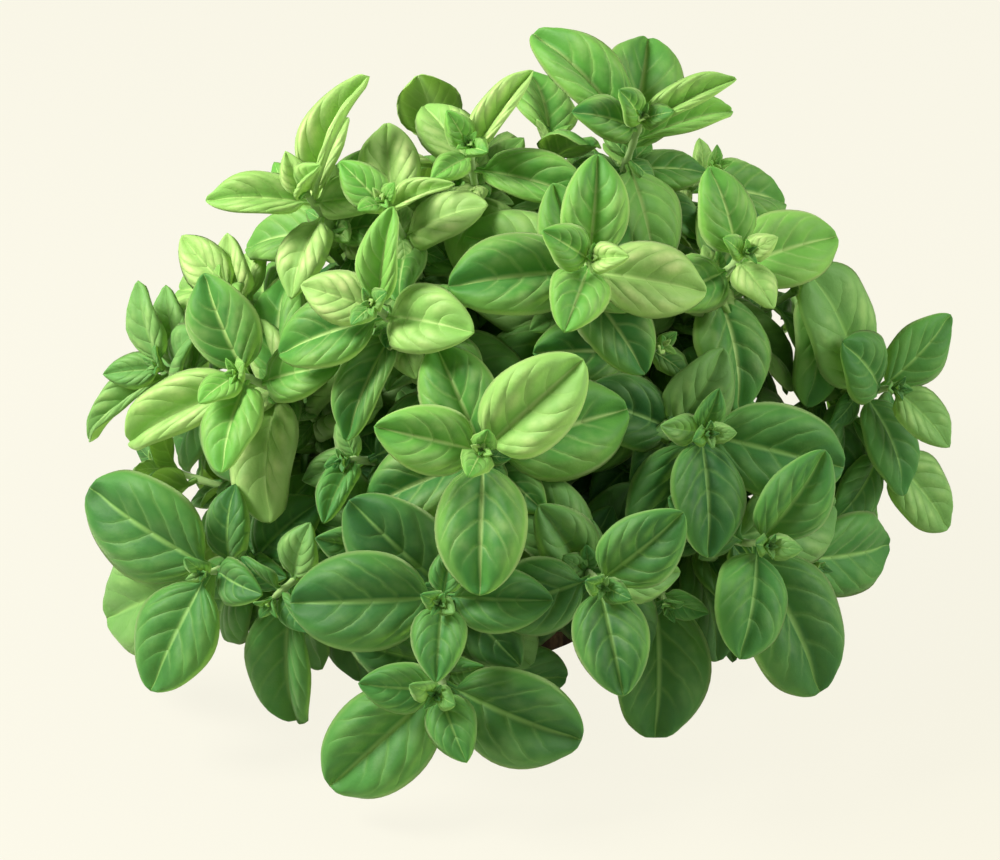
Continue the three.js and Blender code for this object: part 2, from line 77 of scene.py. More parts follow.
# The bends that a leaf tries in turn, as (away from the stem, round it).
BENDS = [
    (0, 0), (9, 0), (-9, 0), (0, 12), (0, -12), (17, 0), (-17, 0), (10, 14), (-10, 14), (10, -14),
    (-10, -14), (0, 24), (0, -24), (26, 0), (-26, 0), (20, 22), (-20, 22), (20, -22), (-20, -22), (35, 0),
]

# Name, growing point, heading as (round from the front, above the horizon), and the leaves pair by pair
# from the youngest, each (length, clock angle round the stem, fold of its halves, lift towards the tip).
FRONT_SHOOTS = [
    ("crest", (32, 6, 130), (8, 46), [
        (13, 300), (10, 100), (26, 74, 55), (19, 279, 10), (36, 328, 30, 22), (27, 78, 50),
        (33, 42, 20, 45), (28, 190)]),
    ("upper_middle", (20, -36, 116), (4, 34), [
        (13, 93), (16, 296, 10, -18), (25, 10), (21, 204), (33, 268), (28, 102, 12), (26, 150), (31, 308)]),
    ("centre", (-4, -64, 84), (-2, 30), [
        (12, 200), (9, 20), (26, 280), (32, 50, 25), (33, 177, 8), (28, 335), (35, 64), (30, 250)]),
    ("low_front", (-14, -84, 34), (-8, 22), [
        (10, 300), (9, 100), (19, 275), (18, 153), (36, 220), (35, 110)]),
    ("front_step", (-13, -78, 54), (-4, 26), [
        (8, 300), (7, 120), (20, 176, 20), (13, 5), (34, 264), (24, 88), (32, 312), (28, 140)]),
    ("lower_middle", (22, -76, 57), (6, 20), [
        (10, 112), (9, 300), (27, 46), (27, 176), (27, 256), (20, 95), (28, 330), (24, 150)]),
    ("lower_right", (59, -58, 56), (24, 24), [
        (10, 105), (9, 290), (27, 40), (29, 212), (40, 165, 8, 15), (22, 316), (33, 95, 15, 15), (28, 260)]),
    ("far_right", (91, -8, 68), (36, 22), [
        (6, 115), (6, 290), (25, 57), (24, 320), (28, 190, 8, 8), (38, 342, 8, 15), (26, 200, 10, 10),
        (28, 20)]),
    ("low_left", (-66, -52, 45), (-26, 20), [
        (9, 330), (30, 196, 8, -40), (17, 92), (36, 290, 8, -8), (41, 232, 8, -4), (20, 352), (30, 215),
        (24, 60)]),
    ("upper_right", (55, -16, 107), (22, 40), [
        (10, 77), (9, 301), (24, 350, 4), (16, 175), (29, 92), (22, 262), (32, 195), (33, 60, 6, 5),
        (34, 138), (30, 318)]),
    ("left", (-59, -30, 84), (-32, 32), [
        (9, 60), (14, 190), (26, 332), (25, 160), (36, 226, 40), (22, 60), (33, 152, 18, 16), (30, 310)]),
    ("upper_left", (-44, -2, 115), (-28, 44), [
        (18, 66, 45), (13, 325), (35, 22, 58, 10), (26, 245, 35), (16, 335), (22, 165), (19, 78),
        (27, 240)]),
    ("top", (-7, -4, 128), (-6, 48), [
        (12, 315), (10, 130), (25, 34, 50), (13, 220), (29, 100, 35), (22, 318), (28, 160), (26, 355)]),
    ("top_left", (-26, -16, 120), (-18, 44), [
        (8, 40), (9, 220), (16, 300), (19, 66, 55), (22, 172, 50), (25, 6, 12), (24, 250), (24, 70)]),
    ("middle_left", (-28, -40, 107), (-20, 34), [
        (9, 60), (9, 200), (18, 274), (24, 4, 36), (26, 92, 20), (27, 241, 20), (28, 190, 35), (14, 140)]),
    ("far_left", (-79, -2, 70), (-52, 28), [
        (9, 20), (15, 230, 10, -20), (30, 207, 50), (20, 40), (19, 275), (22, 330), (28, 200), (26, 120)]),
    ("shoulder_left", (-64, 0, 90), (-46, 40), [
        (9, 20), (9, 190), (20, 290), (16, 110), (19, 335), (27, 245, 20), (28, 280), (26, 60)]),
    ("hanging_left", (-51, -60, 43), (-24, -6), [
        (6, 30), (6, 210), (12, 120), (12, 300), (38, 182, 34), (16, 10), (31, 245), (30, 80)]),
    ("inner_left", (-34, -44, 70), (-26, 22), [
        (7, 60), (7, 240), (11, 330), (20, 170, 30), (31, 60), (16, 240), (24, 150), (30, 0)]),
    ("front_left", (-30, -60, 56), (-18, 16), [
        (7, 45), (7, 225), (14, 100), (14, 280), (31, 0), (31, 165), (32, 75), (31, 255)]),
    ("deep_right", (36, -24, 88), (30, 30), [
        (6, 60), (6, 240), (12, 330), (12, 150), (36, 124), (28, 300), (34, 60), (30, 215)]),
    ("inner_right", (46, -46, 78), (16, 20), [
        (8, 90), (8, 270), (12, 20), (12, 290), (30, 186, 10, 6), (14, 120), (28, 60), (26, 300)]),
    ("hanging_right", (37, -60, 42), (8, -8), [
        (6, 60), (6, 240), (12, 110), (12, 290), (36, 186, 24, 8), (31, 10), (26, 75), (30, 280)]),
    ("shoulder_right", (72, 10, 86), (72, 36), [
        (9, 60), (9, 240), (20, 150), (20, 330), (33, 100), (30, 250), (32, 350), (30, 170)]),
    ("low_far_right", (72, -34, 36), (44, 2), [
        (8, 30), (8, 210), (32, 90, 8, -10), (17, 300), (31, 180), (29, 10), (31, 120)]),
    ("edge_right", (94, -6, 49), (38, 10), [
        (7, 60), (7, 240), (26, 158, 8), (14, 330), (18, 60), (17, 250), (22, 110), (20, 290)]),
    ("high_right", (50, 30, 106), (40, 42), [
        (7, 20), (7, 200), (12, 200), (10, 20), (29, 121), (14, 290), (22, 200), (24, 20)]),
]

# The far side: rings of shoots, evenly spread from one side round the back to the other.
BACK_RINGS = [
    {"name": "back_low", "count": 6, "from": 104, "to": 256, "reach": 84, "height": 30, "rise": 16},
    {"name": "back_middle", "count": 5, "from": 112, "to": 246, "reach": 79, "height": 64, "rise": 30},
    {"name": "back_high", "count": 4, "from": 112, "to": 240, "reach": 58, "height": 98, "rise": 44},
    {"name": "back_top", "count": 2, "from": 150, "to": 215, "reach": 28, "height": 120, "rise": 58},
]
BACK_LEAVES = [10, 21, 30, 31]
BACK_SPREAD = {"round": 5, "reach": 4, "height": 5, "length": 2, "clock": 9}

# What the living plant has besides: leaves between the stems, tufts in the leaf axils and buds at the tips.
FILLS = [
    {"from": 22, "every": 7.5, "foot": 26, "length": (15, 25), "splay": (48, 82), "arch": (20, 48),
     "turn": 67, "gap": 1.7, "stem_gap": 2.0},
    {"from": 17, "every": 5.2, "foot": 18, "length": (9, 14), "splay": (42, 96), "arch": (14, 44),
     "turn": 101, "gap": 1.1, "stem_gap": 1.3},
]
TUFTS = {"pairs": (3, 4), "length": (6, 10), "splay": 40, "arch": 34, "off": 26, "share": 0.6,
         "above": 0.8, "same_depth": 0.1}
BUDS = [{"below": 0.9, "length": 5.5, "splay": 24}, {"below": 0.3, "length": 3.8, "splay": 14}]
BUD_ARCH, BUD_FOLD = 20, 30
# Larger leaves between the grown pairs: shoot, depth below its tip, length, clock angle, splay, fold, tone.
BETWEEN = [
    ("back_top_1", 1, 26, 130, 35, 12, 0.4), ("far_left", 9, 22, 330, 45, 12, 1.0),
    ("upper_left", 5, 22, 0, 75, 45, 1.0), ("upper_left", 5, 18, 70, 75, 20, 0.8),
    ("upper_left", 13, 24, 20, 45, 12, 0.5), ("shoulder_left", 9, 18, 330, 35, 14, 1.0),
    ("far_left", 1, 22, 330, 55, 12, 0.9), ("shoulder_right", 1, 30, 220, 75, 12, 0.1),
    ("inner_right", 7, 36, 110, 55, 12, 0.3), ("far_right", 1, 20, 160, 45, 10, 1.0),
    ("far_right", 41, 20, 260, 95, 12, 0.1), ("shoulder_right", 11, 26, 200, 85, 12, 0.1),
    ("edge_right", 7, 24, 240, 75, 12, 0.4), ("inner_right", 5, 30, 190, 55, 12, 0.0),
    ("inner_right", 33, 18, 260, 85, 12, 0.0), ("far_right", 37, 24, 260, 95, 12, 0.2),
    ("low_left", 33, 12, 180, 65, 12, 0.3), ("high_right", 23, 12, 110, 25, 12, 0.6),
    ("shoulder_right", 19, 20, 200, 75, 12, 0.1), ("far_right", 11, 12, 250, 85, 12, 0.4),
    ("back_low_6", 21, 16, 200, 25, 12, 0.2),
]
BETWEEN_ARCH, BETWEEN_GAP = 36, 1.3
# How pale a leaf is, from 0 to 1, where it isn't left to chance: by its place in the shoot's row.
TONES = {
    "crest": {2: 0.8, 3: 0.1, 4: 0.45, 5: 0.7, 6: 0.35},
    "upper_middle": {0: 0.9, 2: 0.45, 3: 0.6, 4: 0.2, 5: 0.92},
    "centre": {0: 0.4, 1: 0.4, 2: 0.4, 3: 0.8, 4: 0.1, 5: 0.3, 6: 0.5, 7: 0.1},
    "low_front": {2: 0.5, 4: 0.58, 5: 0.1}, "front_step": {2: 0.5, 4: 0.1, 6: 0.05},
    "high_right": {4: 0.2}, "lower_middle": {2: 0.2, 3: 0.0, 4: 0.2},
    "lower_right": {2: 0.4, 3: 0.4, 4: 0.1}, "low_left": {1: 0.4, 2: 0.3, 3: 0.3, 4: 0.9},
    "left": {2: 0.05, 3: 0.6, 4: 0.85, 6: 0.9}, "upper_left": {0: 0.8, 2: 0.9, 3: 0.8},
    "top": {2: 1.0, 4: 0.5}, "far_right": {2: 0.6, 5: 0.9}, "edge_right": {2: 1.0},
    "hanging_left": {4: 0.5}, "hanging_right": {4: 0.1}, "upper_right": {2: 0.5, 4: 0.7, 6: 0.3},
    "middle_left": {3: 0.7, 4: 0.8, 5: 0.3}, "inner_left": {4: 0.0, 7: 0.1},
    "far_left": {1: 0.8, 2: 1.0, 4: 0.8, 5: 0.8, 6: 0.6},
    "shoulder_left": {2: 0.9, 3: 0.7, 4: 0.9, 5: 0.8}, "deep_right": {4: 0.2, 5: 0.1, 6: 0.1, 7: 0.1},
    "inner_right": {4: 0.2, 5: 0.1, 6: 0.1, 7: 0.1},
}
# Shoots on the sunny side, whose leaves are painted paler as if sunlit, and the least paleness that chance
# gives them.
SUNNY = {"least": 0.5, "shoots": ("upper_left", "top_left", "top", "shoulder_left", "far_left", "left")}
SEEDS = {"back": 11, "leaves": 5, "fill": 23, "looks": 41}
UP = np.array([0.0, 0.0, 1.0])
WORD = 0xFFFFFFFF


def seeded(seed):
    """The same run of numbers from 0 to 1 for the same seed, by the mulberry32 rule."""
    state = seed & WORD

    def draw():
        nonlocal state
        state = (state + 0x6D2B79F5) & WORD
        t = ((state ^ (state >> 15)) * (1 | state)) & WORD
        t = ((t + ((t ^ (t >> 7)) * (61 | t) & WORD)) & WORD) ^ t
        return (t ^ (t >> 14)) / (WORD + 1)

    return draw


def spread(draw, size):
    return (2 * draw() - 1) * size


def lerp(a, b, share):
    return (1 - share) * a + share * b


def unit(vector):
    return vector / np.linalg.norm(vector)


def heading_vector(around, rise):
    around, rise = math.radians(around), math.radians(rise)
    flat = math.cos(rise)
    return np.array([math.sin(around) * flat, -math.cos(around) * flat, math.sin(rise)])


def clock_direction(axis, degrees):
    """The direction at a clock angle round an axis, 0 at the top and 90 to the right, seen from its end."""
    top = unit(UP - axis * (UP @ axis))
    right = np.cross(top, axis)
    angle = math.radians(degrees)
    return top * math.cos(angle) + right * math.sin(angle)


def turned(vector, axis, degrees):
    angle = math.radians(degrees)
    return (vector * math.cos(angle) + np.cross(axis, vector) * math.sin(angle)
            + axis * (axis @ vector) * (1 - math.cos(angle)))


def polar_angle(tip):
    return math.atan2(math.hypot(tip[0], tip[1]), tip[2])


def crown_top(from_axis):
    share = from_axis / CROWN["radius"]
    return CROWN["height"] * (1 - CROWN["shoulder"] * share * share)


class MiddleLine:
    """A stem's cubic middle line, measured along its length."""

    STEPS = 200
    NUDGE = 1e-4

    def __init__(self, points):
        self.points = points
        self.times = np.linspace(0, 1, self.STEPS + 1)
        steps = np.linalg.norm(np.diff(self.at(self.times), axis=0), axis=1)
        self.lengths = np.concatenate([[0], np.cumsum(steps)])
        self.length = self.lengths[-1]

    def at(self, t):
        t = np.asarray(t, float)[..., None]
        a, b, c, d = self.points
        return (1 - t) ** 3 * a + 3 * (1 - t) ** 2 * t * b + 3 * (1 - t) * t * t * c + t ** 3 * d

    def time(self, share):
        return np.interp(share * self.length, self.lengths, self.times)

    def point(self, share):
        return self.at(self.time(share))

    def tangent(self, share):
        t = self.time(share)
        return unit(self.at(min(t + self.NUDGE, 1)) - self.at(max(t - self.NUDGE, 0)))

    def stepped(self, share):
        """The point on the straight steps between the frame's rings."""
        steps = STEM["segments"]
        step = min(math.floor(share * steps), steps - 1)
        return lerp(self.point(step / steps), self.point((step + 1) / steps), share * steps - step)


def back_leaves(draw):
    roll = 180 * draw()
    leaves = []
    for pair, length in enumerate(BACK_LEAVES):
        for half in (0, 180):
            own = length + spread(draw, BACK_SPREAD["length"])
            leaves.append((own, roll + 90 * pair + half + spread(draw, BACK_SPREAD["clock"])))
    return leaves


def back_shoots():
    draw = seeded(SEEDS["back"])
    shoots = []
    for ring in BACK_RINGS:
        for i in range(ring["count"]):
            share = i / (ring["count"] - 1)
            around = lerp(ring["from"], ring["to"], share) + spread(draw, BACK_SPREAD["round"])
            reach = ring["reach"] + spread(draw, BACK_SPREAD["reach"])
            height = ring["height"] + spread(draw, BACK_SPREAD["height"])
            angle = math.radians(around)
            tip = (math.sin(angle) * reach, -math.cos(angle) * reach, height)
            shoots.append((f"{ring['name']}_{i + 1}", tip, (around, ring["rise"]), back_leaves(draw)))
    return shoots


def foot_places(shoots):
    """Where each shoot leaves the crown: the flatter it lies, the nearer the rim, and no two together."""
    feet = []
    for _, tip, _, _ in shoots:
        from_axis = STEM["foot_spread"] * polar_angle(tip) / (math.pi / 2)
        feet.append(unit(np.array(tip[:2], float)) * from_axis)
    for _ in range(STEM["foot_rounds"]):
        for i, a in enumerate(feet):
            for b in feet[i + 1:]:
                apart = math.hypot(*(b - a))
                if apart < STEM["foot_gap"]:
                    push = (b - a) / apart * (STEM["foot_gap"] - apart) / 2
                    a -= push
                    b += push
        for foot in feet:
            foot *= min(1, STEM["foot_reach"] / math.hypot(*foot))
    return feet


def middle_line(shoot, place):
    _, tip, heading, _ = shoot
    tip = np.array(tip, float)
    away = unit(np.array([tip[0], tip[1], 0]))
    depth = CROWN["socket_depth"] - CROWN["socket_floor"]
    foot = np.array([place[0], place[1], crown_top(math.hypot(*place)) - depth])
    lean = polar_angle(tip) * STEM["lean"]
    rise = UP * math.cos(lean) + away * math.sin(lean)
    chord = np.linalg.norm(tip - foot)
    return MiddleLine([
        foot,
        foot + rise * chord * STEM["pull"],
        tip - heading_vector(*heading) * chord * STEM["arrive"],
        tip,
    ])


def half_width(width, petiole, s):
    """Half the blade's width at a share of the leaf's length: a slim stalk, then an ovate blade."""
    t = np.clip((s - LEAF["petiole_share"]) / (1 - LEAF["petiole_share"]), 0, 1)
    ovate = t ** LEAF["base_curve"] * (1 - t) ** LEAF["tip_curve"] * LEAF["fullness"]
    return np.maximum(width / 2 * ovate, petiole * (1 - t))


def leaf_points(leaf, s, v):
    """Points of the leaf's middle surface: s runs from the stem to the tip, v from margin to margin."""
    s, v = np.asarray(s, float)[..., None], np.asarray(v, float)[..., None]
    start, now = leaf["splay"], leaf["splay"] + leaf["arch"] * s
    along = leaf["length"] * (np.sin(now) - math.sin(start)) / leaf["arch"]
    out = leaf["length"] * (math.cos(start) - np.cos(now)) / leaf["arch"]
    face = leaf["axis"] * np.sin(now) - leaf["out"] * np.cos(now)
    twist = leaf["twist"] * s
    side = leaf["side"] * np.cos(twist) + face * np.sin(twist)
    face = face * np.cos(twist) - leaf["side"] * np.sin(twist)
    half = half_width(leaf["width"], LEAF["petiole_width"] / 2, s)
    return (leaf["root"] + leaf["axis"] * along + leaf["out"] * out
            + side * half * v * math.cos(leaf["fold"]) + face * half * np.abs(v) * math.sin(leaf["fold"]))


def make_leaf(line, below, length, clock, splay, arch, draw, fold=None):
    """A leaf hung on a stem at a clock angle, with its own small differences."""
    share = 1 - below / line.length
    axis = line.tangent(share)
    out = clock_direction(axis, clock + spread(draw, JITTER["around"]))
    own = length * (1 + spread(draw, JITTER["length"]))
    usual_fold = lerp(*JITTER["fold"], draw())
    shown = FOLDED["width"] if fold is not None and fold > FOLDED["from"] else 1
    return {
        "root": line.stepped(share),
        "axis": axis,
        "out": out,
        "side": np.cross(axis, out),
        "length": own,
        "width": own * LEAF["width_share"] * shown * (1 + spread(draw, JITTER["width"])),
        "splay": math.radians(splay + spread(draw, JITTER["splay"])),
        "arch": math.radians(arch * (1 + spread(draw, JITTER["arch"]))),
        "fold": math.radians(usual_fold if fold is None else fold),
        "twist": math.radians(spread(draw, JITTER["twist"])),
        "below": below,
    }


def bent_leaf(leaf, away, around):
    out = turned(leaf["out"], leaf["axis"], around)
    splay = leaf["splay"] + math.radians(away)
    return {**leaf, "out": out, "side": np.cross(leaf["axis"], out), "splay": splay}


def rounded(number):
    return math.floor(number + 0.5)


def cloud(points, owner, own=None):
    centre = (points.min(0) + points.max(0)) / 2
    radius = np.linalg.norm(points - centre, axis=1).max()
    return {"points": points, "own": own, "owner": owner, "centre": centre, "radius": radius}


def leaf_cloud(leaf, owner):
    rows = max(CLEAR["rows"], rounded(leaf["length"] / CLEAR["sample"]))
    columns = max(CLEAR["columns"], 2 * rounded(leaf["width"] / CLEAR["sample"] / 2))
    s = lerp(LEAF["petiole_share"], 1, np.arange(1, rows + 1) / rows)
    v = 2 * np.arange(columns + 1) / columns - 1
    s, v = [grid.ravel() for grid in np.meshgrid(s, v, indexing="ij")]
    points = leaf_points(leaf, s, v)
    return cloud(points, owner, points[s > CLEAR["own_from"]])


def stem_cloud(line, owner):
    count = rounded(line.length / CLEAR["sample"])
    return cloud(np.array([line.stepped(i / count) for i in range(count + 1)]), owner)


def near(points, others, gap):
    """Whether any of the points is within the gap of any of the others, by those near the points' box."""
    low, high = points.min(0) - gap, points.max(0) + gap
    others = others[((others > low) & (others < high)).all(1)]
    if not len(others):
        return False
    apart = points[:, None, :] - others[None, :, :]
    return bool((np.einsum("ijk,ijk->ij", apart, apart) < gap * gap).any())


class Crowd:
    """Everything that has found its place so far."""

    def __init__(self, stems):
        self.stems = stems
        self.leaves = []
        self.centres = np.zeros((0, 3))
        self.radii = np.zeros(0)

    def add(self, one):
        self.leaves.append(one)
        self.centres = np.vstack([self.centres, one["centre"]])
        self.radii = np.append(self.radii, one["radius"])

    def is_clear(self, one, gap, stem_gap):
        if (one["points"][:, 2] < LEAF["floor_gap"]).any():
            return False
        for other in self.stems:
            if other["owner"] == one["owner"]:
                continue
            apart = np.linalg.norm(other["centre"] - one["centre"]) - other["radius"] - one["radius"]
            if apart <= stem_gap and near(one["points"], other["points"], stem_gap):
                return False
        reach = np.linalg.norm(self.centres - one["centre"], axis=1) - self.radii - one["radius"]
        for i in np.flatnonzero(reach <= gap):
            other = self.leaves[i]
            same = other["owner"] == one["owner"]
            mine, theirs = (one["own"], other["own"]) if same else (one["points"], other["points"])
            if near(mine, theirs, gap):
                return False
        return True


def settle(leaf, plant, crowd, gap=CLEAR["gap"], stem_gap=CLEAR["stem_gap"]):
    """Puts a leaf on its shoot at the first bend that is clear, or leaves it off."""
    for bend in BENDS:
        bent = bent_leaf(leaf, *bend)
        sampled = leaf_cloud(bent, plant["owner"])
        if crowd.is_clear(sampled, gap, stem_gap):
            plant["leaves"].append(bent)
            crowd.add(sampled)
            return


def pair_depths(count):
    return list(np.cumsum(PAIRS["below"][:count]))


def outer_leaves(plant, draw):
    depths = pair_depths(len(PAIRS["below"]))
    for i, row in enumerate(plant["shoot"][3]):
        length, clock, *rest = row
        fold = rest[0] if rest else None
        lift = rest[1] if len(rest) > 1 else 0
        pair = i // 2
        leaf = make_leaf(plant["line"], depths[pair], length, clock, PAIRS["splay"][pair] - lift,
                         PAIRS["arch"][pair], draw, fold)
        yield {**leaf, "tone": TONES.get(plant["shoot"][0], {}).get(i)}


def inner_leaves(plant, draw):
    name, tip, _, leaves = plant["shoot"]
    pairs = math.ceil(len(leaves) / 2)
    last = leaves[2 * (pairs - 1)][1]
    depth = pair_depths(pairs)[-1]
    bare = name.startswith("back") or tip[2] < INNER_PAIRS["low_tip"]
    for i, below in enumerate(INNER_PAIRS["below"][:1 if bare else None]):
        depth += below
        for half in (0, 180):
            yield make_leaf(plant["line"], depth, INNER_PAIRS["length"][i], last + 90 * (i + 1) + half,
                            INNER_PAIRS["splay"], INNER_PAIRS["arch"], draw)


def between_leaves(plant, draw):
    for name, below, length, clock, splay, fold, tone in BETWEEN:
        if name == plant["shoot"][0]:
            leaf = make_leaf(plant["line"], below, length, clock, splay, BETWEEN_ARCH, draw, fold)
            yield {**leaf, "tone": tone}


def fill_leaves(plant, fill, draw):
    """Smaller leaves all the way down the stem, a little turned from pair to pair."""
    depth = fill["from"]
    clock = 360 * draw()
    while depth < plant["line"].length - fill["foot"]:
        for half in (0, 180):
            length = lerp(*fill["length"], draw())
            yield make_leaf(plant["line"], depth, length, clock + half, lerp(*fill["splay"], draw()),
                            lerp(*fill["arch"], draw()), draw)
        depth += fill["every"]
        clock += fill["turn"]


def tuft_leaves(plant, draw):
    """Young leaves in the axils of the grown pairs."""
    depths = pair_depths(len(PAIRS["below"]))
    for leaf in plant["leaves"]:
        if not any(abs(leaf["below"] - depths[pair]) < TUFTS["same_depth"] for pair in TUFTS["pairs"]):
            continue
        if draw() > TUFTS["share"]:
            continue
        clock = clock_of(leaf)
        for off in (-TUFTS["off"], TUFTS["off"]):
            length = lerp(*TUFTS["length"], draw())
            yield make_leaf(plant["line"], leaf["below"] - TUFTS["above"], length, clock + off,
                            TUFTS["splay"], TUFTS["arch"], draw)


def clock_of(leaf):
    top = clock_direction(leaf["axis"], 0)
    right = clock_direction(leaf["axis"], 90)
    return math.degrees(math.atan2(leaf["out"] @ right, leaf["out"] @ top))


def bud_leaves(plant, draw):
    """The two youngest pairs, still closed round the growing point."""
    clock = (clock_of(plant["leaves"][0]) if plant["leaves"] else 0) + 90
    for i, bud in enumerate(BUDS):
        for half in (0, 180):
            yield make_leaf(plant["line"], bud["below"], bud["length"], clock + 90 * i + half, bud["splay"],
                            BUD_ARCH, draw, BUD_FOLD)


def bare_plants():
    """Every shoot on its foot with its middle line, and no leaf yet."""
    shoots = FRONT_SHOOTS + back_shoots()
    feet = foot_places(shoots)
    return [{"shoot": shoot, "owner": i, "line": middle_line(shoot, feet[i]), "leaves": []}
            for i, shoot in enumerate(shoots)]


def grown_plants():
    """Every shoot with its leaves, as the frame has them, and the finer foliage."""
    draw = seeded(SEEDS["leaves"])
    plants = bare_plants()
    crowd = Crowd([stem_cloud(plant["line"], plant["owner"]) for plant in plants])
    for kind in (outer_leaves, inner_leaves):
        for plant in plants:
            for leaf in kind(plant, draw):
                settle(leaf, plant, crowd)
    draw = seeded(SEEDS["fill"])
    for plant in plants:
        plant["leaves"] += list(bud_leaves(plant, draw))
    for plant in plants:
        for leaf in between_leaves(plant, draw):
            settle(leaf, plant, crowd, BETWEEN_GAP, BETWEEN_GAP)
    for plant in plants:
        plant["leaves"] += list(tuft_leaves(plant, draw))
    for fill in FILLS:
        for plant in plants:
            for leaf in fill_leaves(plant, fill, draw):
                settle(leaf, plant, crowd, fill["gap"], fill["stem_gap"])
    return plants


# ---------------------------------------------------------------- blades and stems as Geometry Nodes

# Blades by the least length they serve: steps from the stem to the tip and from margin to margin.
BLADES = [{"from": 24, "rows": 26, "columns": 16}, {"from": 12, "rows": 14, "columns": 10},
          {"from": 0, "rows": 7, "columns": 4}]
# How far a blade's rows crowd towards its two ends, how square its edge is, what counts as an end, and the
# gap that is welded shut there.
SHELL = {"crowding": 0.55, "edge": 6, "end": 1e-4, "weld": 1e-3}
# The side veins of a half blade, and how they leave the midrib and arch forward.
VEINS = {"count": 4.9, "rise": 0.27, "curl": 0.2}
# Where a blade's relief starts and stops, along it or from the midrib out, how round its bulges are, how
# deep the furrow over the midrib is, and how far a half puffs up, at least and at most.
RELIEF = {"base": (0, 0.12), "tip": (1.0, 0.9), "rounding": 0.8, "from_midrib": (0, 0.3),
          "to_margin": (1.05, 0.6), "furrow": (0.16, 0), "furrow_depth": 0.35, "puff": (0.08, 0.26)}
# How a margin waves along the blade, and how far its one side is ahead of the other, in radians.
WAVE = {"along": 11, "offset": 2.1}
# Where the stalk starts to be thicker than the blade, and how thick it gets, per width of it.
STALK = {"thick": (0.2, 0.06), "thickness": 0.25}
# The leaf length from which the fine relief shows in full.
FULL_DETAIL = 26
# The depth, in millimetres, at which a leaf counts as old, and below which the stem swells at its leaves.
AGED, SWELLS_BELOW = 60, 3
# Small leaves are pointed and large ones rounder, at the same greatest width.
TIP = {"small": 13, "small_curve": 0.9, "large": 36, "large_curve": 0.56}
# How a stem's path is stepped and softened, and how its radius swells at the leaves and shrinks at the tip.
STEM_PATH = {"step": 1.6, "soften": 5, "samples": 240, "swelling": 0.32, "swelling_reach": 0.9,
             "taper": 2.2, "least": 0.35}
# A stem's cross-section: a circle with its four corners flattened.
SQUARE = {"points": 12, "flattened": 0.55, "size": 1.06}
# How far a blade's margin rolls down, per half width, and its tip droops, per length, and from where.
ROLLED, ROLLED_FROM = 0.14, (0.6, 1.1)
DROOP, DROOP_FROM = 0.03, (0.7, 1.05)
# The form of a point without a leaf, and the numbers of a piece's parts.
NO_BLADE = -1
STEM_PART, TOP_PART, UNDER_PART = 0, 1, 2
# What a finished mesh keeps of its attributes, besides those that start with a dot.
KEPT_ATTRIBUTES = ("UVMap", "tone", "age", "detail", "position", "sharp_face", "material_index")


def opaque(shade):
    return (*shade, 1)


class Wire:
    """An output in a node tree that stands in formulas like a number or a vector."""

    def __init__(self, graph, socket):
        self.graph, self.socket = graph, socket

    @property
    def is_vector(self):
        return self.socket.type == "VECTOR"

    def __add__(self, other):
        return self.graph.calc("ADD", self, other)

    def __sub__(self, other):
        return self.graph.calc("SUBTRACT", self, other)

    def __rsub__(self, other):
        return self.graph.calc("SUBTRACT", other, self)

    def __mul__(self, other):
        plain = not other.is_vector if isinstance(other, Wire) else isinstance(other, (int, float))
        if self.is_vector and plain:
            return self.graph.made("ShaderNodeVectorMath", {0: self, "Scale": other}, operation="SCALE")
        return self.graph.calc("MULTIPLY", self, other)

    def __truediv__(self, other):
        return self.graph.calc("DIVIDE", self, other)

    def __pow__(self, other):
        return self.graph.calc("POWER", self, other)


